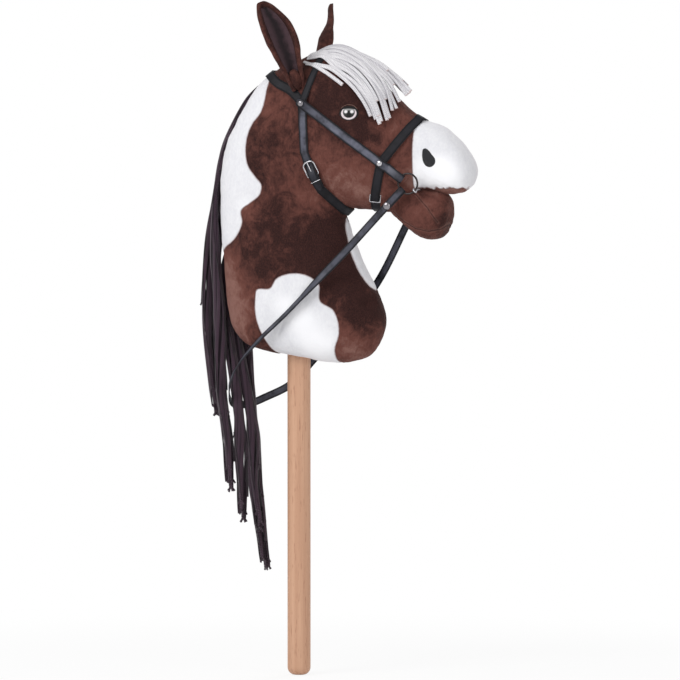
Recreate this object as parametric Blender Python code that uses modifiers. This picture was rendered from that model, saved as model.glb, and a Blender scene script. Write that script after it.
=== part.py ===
"""Hobby horse: a stuffed plush horse head on a round beech pole, with a strap bridle and a loose-ring bit.

Metres, +Z up. The foot of the pole stands on the origin, the horse faces +X and its right side is at -Y.
Profiles are given in millimetres, measured from the point where the pole leaves the neck.
"""
import math

import bmesh
import bpy
import numpy as np
from mathutils import Matrix, Vector
from mathutils.bvhtree import BVHTree

MM = 0.001

# Pole
POLE_DIAMETER = 0.030
POLE_SHOWN = 0.418
POLE_HIDDEN = 0.262
FOOT_LAND = 0.010
POLE_CLEARANCE = 0.0003

# Stuffed forms: full widths across the horse
NECK_WIDTH = 0.096
HEAD_WIDTH = 0.092
JAW_WIDTH = 0.062
SEAM_GAP = 0.0003
MUZZLE_SEAM_X = 0.167
LIP_SEAM_Z = 0.2155
PANEL_THICKNESS = 0.0016
PANEL_CELL = 0.014

# Ears
EAR_LENGTH = 0.131
EAR_WIDTH = 0.054
EAR_THICKNESS = 0.0040
LINING_THICKNESS = 0.0014
LINING_SHARE = 0.74
EAR_ROOT = (0.013, 0.034, 0.338)
EAR_POSES = {
    "right": {"out": 22, "back": 11, "turn": 60},
    "left": {"out": 22, "back": -9, "turn": 30},
}
EAR_STATIONS = (  # share of the length, share of the half width, curl in degrees, lean back, shift to the outer edge
    (0.05, 0.48, 120, 0.0000, 0.0000),
    (0.16, 0.66, 116, 0.0000, 0.0000),
    (0.34, 0.86, 100, -0.0010, 0.0000),
    (0.55, 1.00, 78, -0.0020, 0.0000),
    (0.72, 0.88, 64, -0.0010, 0.0020),
    (0.86, 0.60, 54, 0.0010, 0.0060),
    (0.95, 0.38, 48, 0.0020, 0.0095),
    (1.00, 0.20, 46, 0.0030, 0.0120),
)

# Straps
STRAP_WIDTH = 0.012
BROWBAND_WIDTH = 0.009
REIN_WIDTH = 0.010
STRAP_THICKNESS = 0.0013
STRAP_GAP = 0.0003
SKIN_GAP = 0.0005
STRAP_STEP = 0.008

# Rivets and studs
RIVET_SHANK = 0.0030
RIVET_HEAD = 0.0076
STUD_HEAD = 0.0100
RIVET_RIM = 0.92  # share of the head's width that rests on the strap
RIVET_RISE = 0.28
HOLE_CLEARANCE = 0.0004

# Bit
RING_RADIUS = 0.0130
RING_WIRE = 0.0025
RING_CENTRE = (0.1606, 0.0400, 0.2220)
RING_PLAY = 0.0003
MOUTHPIECE_DIAMETER = 0.0052
MOUTHPIECE_ANGLE = -45
EYE_WIRE = 0.0022
EYE_PLAY = 0.0005

# Throat buckle
BUCKLE_WIRE = 0.0020
BUCKLE_LENGTH = 0.019
BUCKLE_SIDE_PLAY = 0.0006
PRONG_WIRE = 0.0016
PRONG_PLAY = 0.0003
PRONG_SLOT_PLAY = 0.0007
PRONG_SLOTS = {  # from and to along the strap, and height
    "throatlatch": (-0.0045, 0.0040, 0.012),
    "throat_billet": (-0.0018, 0.0102, 0.014),
}
KEEPER_WIRE = 0.0010
KEEPER_GAP = 0.00035
KEEPER_SHARE = 0.70  # how high the billet still lies at the keeper, between the lower strap and the bar
BILLET_PLAY = 0.0001

# Slide on the jaw strap
SLIDE_WIRE = 0.0014
SLIDE_LENGTH = 0.0095
SLIDE_AT = 0.048

# Mane and forelock
LOCK_RADIUS = 0.0064
LOCK_GAP = 0.0004
LOCK_TAPER = ((0, 0.10, 0.28, 0.75, 0.93, 1), (0.42, 0.62, 1, 1, 0.8, 0.45))  # share of the length, of the radius
FORELOCK_THICKNESS = 0.0050

# Side-view places on the head, as (x, z)
POLL_RIVET = (0.019, 0.325)
NOSE_RIVET = (0.124, 0.248)
NOSE_RIDGE = (0.1675, 0.305)
BROW_TOP = (0.040, 0.393)
JAW_UNDER = (0.110, 0.188)
BUCKLE_BAR = (0.034, 0.233)
BUCKLE_AIM = (0.021, 0.262)
BILLET_LINE = ((0.0195, 0.300), (0.0205, 0.277))
THROAT_LINE = ((0.0205, 0.290), (0.028, 0.250), (0.042, 0.215))
REIN_AWAY = {"right": (-0.69, -0.72), "left": (-0.45, -0.89)}
REIN_STUD_REACH = 0.0396
REIN_END_REACH = 0.0496
EYE_CENTRE = (0.082, 0.3125)

# Stations (angle round the head, x, z) of the straps that leave the sides, up to the middle, and the plane of each
UPRIGHT = (0, 1)
CROWN_UP = (-0.15, 0.99)
CROWN_STATIONS = (
    (0, 0.0235, 0.3210), (0, *POLL_RIVET), (12, 0.002, 0.334), (25, -0.019, 0.339), (50, -0.030, 0.341),
    (90, -0.035, 0.341),
)
THROAT_UP = (-0.7, 0.7)
THROAT_UNDER = ((205, 0.046, 0.209), (235, 0.051, 0.203), (270, 0.056, 0.199))

# Ribs of the stuffed forms: two ends of a cross-section in side view (x, z, x, z) and its share of the full width
NECK_RIBS = (
    (5, -3, 5, -3, 0),
    (-45, 5, 75, -9, 0.58),
    (-72, 14, 101, 2, 0.83),
    (-86, 30, 113, 22, 0.96),
    (-93, 56, 118, 45, 1.0),
    (-97, 87, 110, 74, 0.98),
    (-101, 122, 91, 112, 0.92),
    (-104, 157, 76, 147, 0.875),
    (-105.5, 192, 66, 177, 0.83),
    (-105, 227, 60, 205, 0.81),
    (-100, 264, 54, 250, 0.78),
    (-90, 290, 46, 300, 0.75),
    (-76, 314, 36, 335, 0.70),
    (-58, 343, 22, 362, 0.62),
    (-40, 361, 8, 374, 0.46),
    (-22, 372, -10, 376, 0.20),
    (-15, 374, -15, 374, 0),
)
HEAD_RIBS = (
    (-47, 294, -47, 294, 0),
    (-45, 327, -25, 262, 0.40),
    (-34, 352, 0, 222, 0.72),
    (-16, 368, 38, 200, 0.89),
    (12, 386, 66, 191, 0.97),
    (40, 392, 92, 188, 1.0),
    (72, 383, 112, 187, 0.95),
    (104, 360, 128, 185, 0.85),
    (132, 334, 146, 188, 0.745),
    (154, 315, 160, 198, 0.69),
    (170, 304, 168, 210, 0.68),
    (184, 299.5, 177, 212, 0.725),
    (198.5, 294, 190, 211, 0.775),
    (212, 283, 204, 209, 0.785),
    (226, 268, 217.5, 209, 0.72),
    (235.5, 252, 230.5, 214.5, 0.55),
    (239, 240, 237, 227, 0.29),
    (240, 234, 240, 234, 0),
)
JAW_RIBS = (
    (118, 203, 118, 203, 0),
    (127, 214, 122, 192, 0.52),
    (140, 219, 136, 178, 0.81),
    (156, 218, 152, 164.5, 0.94),
    (172, 216, 170, 154.5, 1.0),
    (188, 213, 188, 151, 1.0),
    (201, 210, 203, 157, 0.87),
    (209, 202, 211, 170, 0.61),
    (214, 185, 214, 185, 0),
)

# Outlines in side view of the white panels and the embroidery, as closed curves through these points (x, z)
CREST_OUTLINE = (
    (-37, 352), (-46, 336), (-60, 303), (-61, 284), (-53, 258), (-41, 224), (-44, 216),
    (-66, 189), (-68, 160), (-78, 146), (-93, 138), (-96, 160), (-99, 190), (-99, 220),
    (-96, 250), (-87, 280), (-73, 308), (-56, 336), (-44, 350),
)
SHOULDER_OUTLINE = (
    (-44, 84), (-24, 87), (-17, 98), (4, 106), (28, 102), (41, 92), (44, 70), (62, 58),
    (72, 40), (72, 24), (66, 8), (62, -2), (40, -2), (0, 8), (-26, 6), (-34, 20), (-44, 44), (-46, 72),
)
EYE_OUTLINE = tuple(
    (11 * math.cos(turn) * (1 + 0.1 * math.cos(turn)), 8.5 * math.sin(turn)) for turn in np.radians(range(0, 360, 30))
)
NOSTRIL_OUTLINE = ((-8, 10), (-5, 11), (1, 6), (6, -1), (8, -7), (4, -11), (-2, -12), (-7, -8), (-9, 0))
NOSTRIL_CENTRE = (0.185, 0.253)
GUSSET_OUTLINE = (
    (0, 83), (11, 88), (16, 104), (16, 130), (12, 156), (6, 172), (0, 178),
    (-6, 172), (-12, 156), (-16, 130), (-16, 104), (-11, 88),
)

# Routes (x, y, z) of the rein's free part and of each lock of the mane, and the strands of the forelock
REIN_ROUTE = (
    (80, -50, 135), (50, -54, 104), (-4, -56, 49), (-36, -54, 20), (-72, -42, -18), (-90, -18, -49),
    (-93, 0, -64), (-90, 14, -68), (-78, 30, -67), (-58, 42, -58), (-31, 50, -44), (3, 52, -9), (91, 52, 93),
)
REIN_BACK = 0.040  # behind this the strap starts to face backwards
REIN_ROLL = ((-0.088, -0.070, 0.020, 0.064), (0, 58, 58, 0))  # on the right side: places along X, degrees upwards
LOCKS = {
    "mane_outer_1": (
        (-60, 6, 343), (-82, 8, 311), (-103, 8, 262), (-113, 6, 205), (-123, 4, 150), (-127, 2, 90), (-126, 2, 30),
        (-120, 2, -30), (-116, 2, -66),
    ),
    "mane_outer_2": (
        (-92, 22, 290), (-106, 22, 240), (-113, 21, 190), (-121, 20, 130), (-120, 18, 70), (-116, 17, 10),
        (-110, 16, -40), (-109, 16, -92),
    ),
    "mane_outer_3": (
        (-111, -8, 240), (-113, -9, 190), (-112, -10, 130), (-106, -10, 60), (-103, -8, -62), (-95, -8, -110),
        (-92, -6, -170), (-91, -6, -189),
    ),
    "mane_inner_1": (
        (-109, 5, 130), (-105, 5, 60), (-94, 1, 0), (-83, -4, -62), (-80, -2, -110), (-77, -2, -170), (-76, -2, -227),
    ),
    "mane_inner_2": (
        (-108, 19, 120), (-101, 19, 60), (-86, 11, 0), (-70, 3, -62), (-64, 3, -110), (-62, 2, -170),
        (-55, 3, -220), (-53, 3, -241),
    ),
    "mane_inner_3": (
        (-100, 33, 128), (-89, 32, 60), (-80, 25, 0), (-72, 17, -62), (-68, 17, -110), (-65, 16, -170),
        (-58, 15, -225), (-47, 10, -292),
    ),
}
FORELOCK_STRANDS = (
    ((22, -24, 372), (49, -30, 368), (80, -40, 352), (104, -44, 322), (116, -45, 298)),
    ((22, -14, 384), (45, -18, 388), (85, -26, 374), (118, -36, 340), (132, -40, 306)),
    ((22, -5, 390), (45, -6, 399), (88, -10, 386), (125, -18, 358), (146, -24, 322)),
    ((22, 5, 391), (45, 6, 401), (90, 4, 389), (128, 0, 368), (158, -6, 344)),
    ((22, 14, 386), (42, 20, 394), (80, 22, 384), (115, 20, 362), (140, 18, 342)),
)


def flat(values):
    """Millimetres from the neck's base point to metres from the foot, for (x, z) pairs."""
    points = np.array(values, float) * MM
    points[..., 1] += POLE_SHOWN
    return points


def route(values):
    """Millimetres from the neck's base point to metres from the foot, for (x, y, z) points."""
    return np.array(values, float) * MM + np.array((0, 0, POLE_SHOWN))


def material(name, colour, roughness, metallic=0.0):
    made = bpy.data.materials.new(name)
    made.use_nodes = True
    shader = made.node_tree.nodes["Principled BSDF"]
    shader.inputs["Base Color"].default_value = (*colour, 1)
    shader.inputs["Roughness"].default_value = roughness
    shader.inputs["Metallic"].default_value = metallic
    made.diffuse_color = (*colour, 1)
    return made


def named(mesh_object, name, finish, collection=None):
    """Puts an object into the part's collection under its name, with its finish."""
    mesh_object.name = name
    mesh_object.data.name = name
    mesh_object.data.materials.clear()
    mesh_object.data.materials.append(finish)
    for owner in list(mesh_object.users_collection):
        owner.objects.unlink(mesh_object)
    (collection or parts).objects.link(mesh_object)
    return mesh_object


def object_from_bmesh(bm, name, finish, collection=None):
    mesh = bpy.data.meshes.new(name)
    bm.to_mesh(mesh)
    bm.free()
    return named(bpy.data.objects.new(name, mesh), name, finish, collection)


def shade(mesh_object, angle=40):
    mesh_object.data.shade_smooth()
    mesh_object.data.set_sharp_from_angle(angle=math.radians(angle))
    return mesh_object


def catmull(points, steps, closed=False):
    """A smooth curve through rows of points, with this many steps from each to the next."""
    points = np.asarray(points, float)
    if closed:
        padded = np.vstack([points[-1:], points, points[:2]])
    else:
        padded = np.vstack([2 * points[0] - points[1], points, 2 * points[-1] - points[-2]])
    span = np.linalg.norm(np.diff(padded, axis=0), axis=1)[:, None] + 1e-9
    slope = np.diff(padded, axis=0) / span
    tangent = (span[:-1] * slope[1:] + span[1:] * slope[:-1]) / (span[:-1] + span[1:])
    t = np.arange(steps)[:, None] / steps
    rows = []
    for i in range(len(padded) - 3):
        start, stop, reach = padded[i + 1], padded[i + 2], span[i + 1]
        rows.append(
            start * (2 * t**3 - 3 * t**2 + 1)
            + stop * (3 * t**2 - 2 * t**3)
            + tangent[i] * reach * (t**3 - 2 * t**2 + t)
            + tangent[i + 1] * reach * (t**3 - t**2)
        )
    curve = np.vstack(rows)
    return curve if closed else np.vstack([curve, points[-1:]])


def lengths(points):
    """Distance along a polyline at each of its points."""
    return np.r_[0, np.cumsum(np.linalg.norm(np.diff(points, axis=0), axis=1))]


def even(points, step):
    """Points respaced along a polyline, about this far apart."""
    points = np.asarray(points, float)
    along = lengths(points)
    at = np.linspace(0, along[-1], max(2, round(along[-1] / step) + 1))
    return np.column_stack([np.interp(at, along, column) for column in points.T])


def modifier(target, kind, name, **settings):
    made = target.modifiers.new(name, kind)
    for key, value in settings.items():
        setattr(made, key, value)
    return made


def cut(target, cutter, operation="DIFFERENCE"):
    modifier(target, "BOOLEAN", cutter.name, object=cutter, operation=operation, solver="EXACT")
    return target


def evaluated_mesh(source):
    view = bpy.context.evaluated_depsgraph_get()
    view.update()
    return bpy.data.meshes.new_from_object(source.evaluated_get(view), depsgraph=view)


def as_cutter(target):
    target.hide_render = True
    target.display_type = "WIRE"
    return target


# Stuffed forms


def stuffed(name, ribs, width, finish, columns=22, fullness=0.86, egg=0.0, grow=0.0, collection=None):
    """A closed loft: each rib is a superellipse between its two profile ends, wider towards the second by egg."""
    rows = np.array(ribs, float)
    rows = catmull(rows, 2)
    ends = np.column_stack([flat(rows[:, 0:2]), flat(rows[:, 2:4])])
    share = np.clip(rows[:, 4], 0, None) * width / 2
    bm = bmesh.new()
    rings = []
    for (x0, z0, x1, z1), half in zip(ends[1:-1], share[1:-1]):
        ring = []
        for j in range(columns):
            turn = 2 * math.pi * j / columns
            c, s = math.cos(turn), math.sin(turn)
            reach = math.copysign(abs(c) ** fullness, c)
            side = math.copysign(abs(s) ** fullness, s) * (1 - egg * c)
            x = (x0 + x1) / 2 + (x0 - x1) / 2 * reach
            z = (z0 + z1) / 2 + (z0 - z1) / 2 * reach
            ring.append(bm.verts.new((x, half * side, z)))
        rings.append(ring)
    poles = [bm.verts.new((row[0], 0, row[1])) for row in (ends[0], ends[-1])]
    for ring, following in zip(rings, rings[1:]):
        for j in range(columns):
            k = (j + 1) % columns
            bm.faces.new((ring[j], ring[k], following[k], following[j]))
    for pole, ring in zip(poles, (rings[0], rings[-1])):
        for j in range(columns):
            bm.faces.new((pole, ring[j], ring[(j + 1) % columns]))
    bmesh.ops.recalc_face_normals(bm, faces=bm.faces[:])
    if grow:
        bm.normal_update()
        moves = [(vert, vert.normal.copy()) for vert in bm.verts]
        for vert, normal in moves:
            vert.co += normal * grow
    return shade(object_from_bmesh(bm, name, finish, collection), 60)


def prism_cutter(name, outline):
    """A prism right across the horse over an outline (x, z)."""
    bm = bmesh.new()
    face = bm.faces.new([bm.verts.new((x, -HEAD_WIDTH, z)) for x, z in outline])
    grown = bmesh.ops.extrude_face_region(bm, geom=[face])["geom"]
    moved = [part for part in grown if isinstance(part, bmesh.types.BMVert)]
    bmesh.ops.translate(bm, vec=(0, 2 * HEAD_WIDTH, 0), verts=moved)
    bmesh.ops.recalc_face_normals(bm, faces=bm.faces[:])
    return as_cutter(object_from_bmesh(bm, name, steel, cutters))


def rod_cutter(name, centre, axis, radius, length, segments=24):
    bm = bmesh.new()
    bmesh.ops.create_cone(
        bm, cap_ends=True, segments=segments, radius1=radius, radius2=radius, depth=length
    )
    turn = Vector((0, 0, 1)).rotation_difference(Vector(axis)).to_matrix().to_4x4()
    bmesh.ops.transform(bm, matrix=Matrix.Translation(centre) @ turn, verts=bm.verts)
    return as_cutter(object_from_bmesh(bm, name, steel, cutters))


def make_pole():
    """A turned rod: a small flat land, a rounded foot and a plain shank up into the head."""
    radius = POLE_DIAMETER / 2
    land = FOOT_LAND / 2
    top = POLE_SHOWN + POLE_HIDDEN
    rounding = radius - land
    profile = [(0, top), (radius - rounding / 8, top), (radius, top - rounding / 8)]
    for i in range(9):
        turn = math.pi / 2 * i / 8
        profile.append((land + rounding * math.cos(turn), rounding * (1 - math.sin(turn))))
    profile.append((0, 0))
    mesh = bpy.data.meshes.new("pole")
    mesh.from_pydata([(x, 0, z) for x, z in profile], [(i, i + 1) for i in range(len(profile) - 1)], [])
    pole = named(bpy.data.objects.new("pole", mesh), "pole", beech)
    modifier(
        pole, "SCREW", "turn", steps=36, render_steps=36, use_merge_vertices=True, merge_threshold=0.00001
    )
    return shade(pole)


def mouthpiece_place():
    """Where the mouthpiece crosses the mouth: at the lower front of the bit rings, as (x, z)."""
    turn = math.radians(MOUTHPIECE_ANGLE)
    x, _, z = RING_CENTRE
    return x + RING_RADIUS * math.cos(turn), z + RING_RADIUS * math.sin(turn) + POLE_SHOWN


def make_forms():
    """The stuffed forms, the smaller ones cut by the larger, with the pole's pocket and the mouthpiece's channel."""
    skull_cutter = as_cutter(
        stuffed("skull_cutter", HEAD_RIBS, HEAD_WIDTH, brown, egg=0.06, grow=SEAM_GAP, collection=cutters)
    )
    neck_cutter = as_cutter(
        stuffed("neck_cutter", NECK_RIBS, NECK_WIDTH, brown, egg=-0.10, grow=SEAM_GAP, collection=cutters)
    )
    top = POLE_SHOWN + POLE_HIDDEN + POLE_CLEARANCE
    pocket = rod_cutter(
        "pole_pocket", (0, 0, top / 2), (0, 0, 1), POLE_DIAMETER / 2 + POLE_CLEARANCE, top, 36
    )
    mouth_x, mouth_z = mouthpiece_place()
    channel = rod_cutter(
        "mouth_channel",
        (mouth_x, 0, mouth_z),
        (0, 1, 0),
        MOUTHPIECE_DIAMETER / 2 + SEAM_GAP,
        HEAD_WIDTH,
        16,
    )
    far, half = 0.4, SEAM_GAP / 2
    low, high = POLE_SHOWN - far, POLE_SHOWN + 2 * far
    lip, seam = LIP_SEAM_Z + POLE_SHOWN, MUZZLE_SEAM_X
    front = prism_cutter(
        "front_of_head",
        [(seam - half, high), (far, high), (far, low), (mouth_x - half, low), (mouth_x - half, lip - half),
         (seam - half, lip - half)],
    )
    not_muzzle = prism_cutter(
        "round_muzzle",
        [(-far, low), (far, low), (far, lip + half), (seam + half, lip + half), (seam + half, high), (-far, high)],
    )
    not_lip = prism_cutter(
        "round_lip",
        [(-far, low), (mouth_x + half, low), (mouth_x + half, lip - half), (far, lip - half), (far, high),
         (-far, high)],
    )

    neck = stuffed("neck", NECK_RIBS, NECK_WIDTH, brown, egg=-0.10)
    for cutter in (skull_cutter, pocket):
        cut(neck, cutter)
    head = stuffed("head", HEAD_RIBS, HEAD_WIDTH, brown, egg=0.06)
    for cutter in (front, pocket, channel):
        cut(head, cutter)
    muzzle = stuffed("muzzle", HEAD_RIBS, HEAD_WIDTH, white, egg=0.06)
    for cutter in (not_muzzle, channel):
        cut(muzzle, cutter)
    lip_piece = stuffed("upper_lip", HEAD_RIBS, HEAD_WIDTH, brown, egg=0.06)
    for cutter in (not_lip, channel):
        cut(lip_piece, cutter)
    jaw = stuffed("lower_jaw", JAW_RIBS, JAW_WIDTH, brown, columns=18)
    for cutter in (skull_cutter, channel):
        cut(jaw, cutter)
    return {"skull_cutter": skull_cutter, "neck_cutter": neck_cutter, "bodies": [neck, head, muzzle, lip_piece, jaw]}


def skin_of(objects):
    """One search tree over the outer faces of several finished objects."""
    points, faces = [], []
    for source in objects:
        mesh = evaluated_mesh(source)
        start = len(points)
        points += [source.matrix_world @ vert.co for vert in mesh.vertices]
        faces += [[start + i for i in face.vertices] for face in mesh.polygons]
        bpy.data.meshes.remove(mesh)
    return BVHTree.FromPolygons(points, faces)


# Ears


def ear_sheet(sign, width, inset, columns, rows=12):
    """A leaf that curls into a cup: an arc whose length and curl change from root to tip. It opens along +X."""
    smooth = catmull(EAR_STATIONS, 4)
    grid = []
    for along in np.linspace(EAR_STATIONS[0][0], 1, rows + 1):
        half, curl, lean, shift = (np.interp(along, smooth[:, 0], smooth[:, k]) for k in (1, 2, 3, 4))
        curl = math.radians(curl)
        inner = half * EAR_WIDTH / 2 / curl - inset
        row = []
        for j in range(columns + 1):
            turn = curl * width * (2 * j / columns - 1)
            row.append((-lean - inner * math.cos(turn), inner * math.sin(turn) + sign * shift, along * EAR_LENGTH))
        grid.append(row)
    return grid


def sheet_mesh(bm, grid):
    rows = [[bm.verts.new(point) for point in row] for row in grid]
    for row, following in zip(rows, rows[1:]):
        for j in range(len(row) - 1):
            bm.faces.new((row[j], row[j + 1], following[j + 1], following[j]))


def make_ear(side, forms):
    sign = -1 if side == "right" else 1
    pose = EAR_POSES[side]
    x, y, z = EAR_ROOT
    made = []
    root = bpy.data.objects.new(f"ear_root_{side}", None)
    parts.objects.link(root)
    root.location = (x, sign * y, z + POLE_SHOWN)
    root.rotation_euler = (
        Matrix.Rotation(math.radians(-sign * pose["out"]), 4, "X")
        @ Matrix.Rotation(math.radians(-pose["back"]), 4, "Y")
        @ Matrix.Rotation(math.radians(sign * pose["turn"]), 4, "Z")
    ).to_euler()
    bpy.context.view_layer.update()
    inset = EAR_THICKNESS / 2 + SKIN_GAP + LINING_THICKNESS / 2
    for name, width, offset, thickness, finish in (
        ("ear", 1.0, 0.0, EAR_THICKNESS, brown),
        ("ear_lining", LINING_SHARE, inset, LINING_THICKNESS, dark),
    ):
        bm = bmesh.new()
        grid = ear_sheet(sign, width, offset, 10)
        if name == "ear_lining":
            grid = grid[1:-2]
        sheet_mesh(bm, grid)
        ear = object_from_bmesh(bm, f"{name}_{side}", finish)
        ear.parent = root
        modifier(ear, "SOLIDIFY", "cloth", thickness=thickness, offset=0, use_even_offset=True)
        for cutter in (forms["skull_cutter"], forms["neck_cutter"]):
            cut(ear, cutter)
        made.append(shade(ear))
    return made


# Straps


def rays(stations, up):
    """Centres and outward directions, from (angle, x, z): 0 is the right side, 90 the top and 180 the left side."""
    degree = math.pi * HEAD_WIDTH / 360
    rows = even(catmull(np.array(stations, float) * (degree, 1, 1), 12), 0.003)
    turn = np.radians(rows[:, 0] / degree)[:, None]
    up = np.array((up[0], 0, up[1])) / math.hypot(*up)
    focus = np.column_stack([rows[:, 1], np.zeros(len(rows)), rows[:, 2] + POLE_SHOWN])
    return focus, np.cos(turn) * np.array((0.0, -1.0, 0.0)) + np.sin(turn) * up


def heights(skin, focus, outward, reach):
    """How far out along each ray the skin lies, seen from this far, or below the centre where the ray misses."""
    found = []
    for origin, direction in zip(focus, outward):
        start = Vector(origin + direction * reach)
        hit = skin.ray_cast(start, Vector(-direction), reach)[0]
        found.append(-1.0 if hit is None else reach - (hit - start).length)
    return np.array(found)


def taut(focus, outward, surface, rounds=600):
    """Pulls a line tight over the skin: each point rises to the chord between its neighbours."""
    height = np.maximum(surface, 0.0)
    for _ in range(rounds):
        place = focus + outward * height[:, None]
        chord = ((place[:-2] + place[2:]) / 2 - focus[1:-1]) * outward[1:-1]
        height[1:-1] = np.maximum(surface[1:-1], chord.sum(1))
    return height


def spread_over(count):
    """Shares of a face's corners in the places tested on it: a grid on a quad, else its middle and halfway points."""
    if count == 4:
        t = np.linspace(0, 1, 5)
        u, v = (part.ravel()[:, None] for part in np.meshgrid(t, t))
        return np.hstack([(1 - u) * (1 - v), u * (1 - v), u * v, (1 - u) * v])
    own = np.eye(count)
    middle = np.full((1, count), 1 / count)
    return np.vstack([middle, own, (own + np.roll(own, 1, axis=0)) / 2, (own + middle) / 2])


def lifted(skin, points, faces, outward, room, rounds=12):
    """Moves points outward until no face between them comes closer to the skin than this."""
    points = np.array(points, float)
    for _ in range(rounds):
        need = np.zeros(len(points))
        for face in faces:
            corners = points[face]
            samples = spread_over(len(face)) @ corners
            short = 0.0
            for sample in samples:
                hit, normal, _, gap = skin.find_nearest(Vector(sample), 4 * room)
                if hit is not None:
                    above = gap if (Vector(sample) - hit).dot(normal) >= 0 else -gap
                    short = max(short, room - above)
            need[face] = np.maximum(need[face], short)
        if need.max() < 0.00002:
            break
        points += outward * need[:, None]
    return points


def clear_rows(skin, rows, gap):
    """A ribbon moved off whatever lies under it."""
    count = len(rows)
    outward = np.cross(rows[:, 3:] - rows[:, :3], np.gradient(rows[:, :3] + rows[:, 3:], axis=0))
    outward /= np.linalg.norm(outward, axis=1)[:, None]
    points = np.vstack([rows[:, :3], rows[:, 3:]])
    faces = [[i, i + 1, count + i + 1, count + i] for i in range(count - 1)]
    moved = lifted(skin, points, faces, np.vstack([outward, outward]), gap + STRAP_THICKNESS / 2)
    return np.hstack([moved[:count], moved[count:]])


def hug(skin, stations, up, width, bump=None, reach=0.09, held=None):
    """A strap laid tight on whatever is under it, its last end held at a distance out if one is given."""
    focus, outward = rays(stations, up)
    surface = heights(skin, focus, outward, reach)
    raised = SKIN_GAP + STRAP_THICKNESS / 2
    if held:
        surface[-1] = held - raised
    centre = taut(focus, outward, surface)
    line = focus + outward * centre[:, None]
    across = np.cross(outward, np.gradient(line, axis=0))
    across /= np.linalg.norm(across, axis=1)[:, None]
    edges = []
    for sign in (1, -1):
        shifted = focus + sign * across * width / 2
        surface = heights(skin, shifted, outward, reach)
        surface = np.where(surface < centre - width / 2, centre - width / 6, surface)
        if held:
            surface[-1] = held - raised
        edges.append(taut(shifted, outward, surface))
    if bump:
        raised = raised + bump(lengths(line))
    sides = [
        focus + sign * across * width / 2 + outward * (height + raised)[:, None]
        for sign, height in zip((1, -1), edges)
    ]
    return clear_rows(skin, even_rows(np.hstack(sides), STRAP_STEP), SKIN_GAP)


def even_rows(rows, step):
    """A ribbon's rows respaced along its middle."""
    along = lengths((rows[:, :3] + rows[:, 3:]) / 2)
    at = np.linspace(0, along[-1], max(3, round(along[-1] / step) + 1))
    return np.column_stack([np.interp(at, along, column) for column in rows.T])


def rounded(rows, width, start=True, end=True):
    """Narrows a ribbon to a half circle at its ends, with more rows there."""
    along = lengths((rows[:, :3] + rows[:, 3:]) / 2)
    total, rim = along[-1], width / 2
    extra = rim * np.array((0.0, 0.08, 0.28, 0.6, 1.0))
    keep = along[((along > rim * 1.3) | (not start)) & ((along < total - rim * 1.3) | (not end))]
    at = np.unique(np.r_[extra if start else [], keep, (total - extra) if end else []])
    rows = np.column_stack([np.interp(at, along, column) for column in rows.T])
    share = np.ones(len(rows))
    for wanted, distance in ((start, at), (end, total - at)):
        if wanted:
            share = np.minimum(share, np.sqrt(1 - np.clip((rim - distance) / rim, 0, 0.94) ** 2))
    centre = (rows[:, :3] + rows[:, 3:]) / 2
    half = (rows[:, 3:] - rows[:, :3]) / 2 * share[:, None]
    return np.hstack([centre - half, centre + half])


def ribbon(name, rows, finish, width=None, start=False, end=False):
    """A strap from its two edges: an open strip of quads with a wall of even thickness on both sides of it."""
    if start or end:
        rows = rounded(rows, width, start, end)
    bm = bmesh.new()
    sheet_mesh(bm, [(row[:3], row[3:]) for row in rows])
    strap = object_from_bmesh(bm, name, finish)
    modifier(strap, "SOLIDIFY", "leather", thickness=STRAP_THICKNESS, offset=0, use_even_offset=True)
    modifier(strap, "TRIANGULATE", "flat_facets")
    return shade(strap, 30)


def strap_room(name, rows):
    """A cutter that leaves room for a strap: a little wider and thicker than it."""
    across = rows[:, 3:] - rows[:, :3]
    across *= STRAP_GAP / np.linalg.norm(across, axis=1)[:, None]
    room = ribbon(name, np.hstack([rows[:, :3] - across, rows[:, 3:] + across]), leather)
    room.modifiers["leather"].thickness = STRAP_THICKNESS + 2 * STRAP_GAP
    return as_cutter(named(room, name, leather, cutters))


def flat_rows(points, across, width):
    """Edges of a ribbon whose middle line is given and whose width lies along one direction."""
    points = np.asarray(points, float)
    half = np.asarray(across, float) * width / 2
    return np.hstack([points + half, points - half])


def side_rays(points, side):
    """Stations of a strap that lies on one side, through these side-view places."""
    return [(0 if side == "right" else 180, *point) for point in points]


def toward(start, end):
    """Unit direction in side view from one place to another."""
    gap = np.subtract(end, start)
    return gap / np.linalg.norm(gap)


def past(start, end, extra):
    """The side-view place this far beyond the end of a line."""
    return tuple(np.array(end) + toward(start, end) * extra)


def sweep(first, last, centre, count=9):
    """Stations of a strap in one plane through a side-view place, from one angle round to another."""
    return [(angle, *centre) for angle in np.linspace(first, last, count)]


def fold_depth(width):
    """Distance from a ring's centre to the centre of a fold of this width round its wire."""
    inner = RING_RADIUS - RING_WIRE / 2
    return math.sqrt(inner**2 - (width / 2) ** 2) + RING_WIRE / 2


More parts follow.
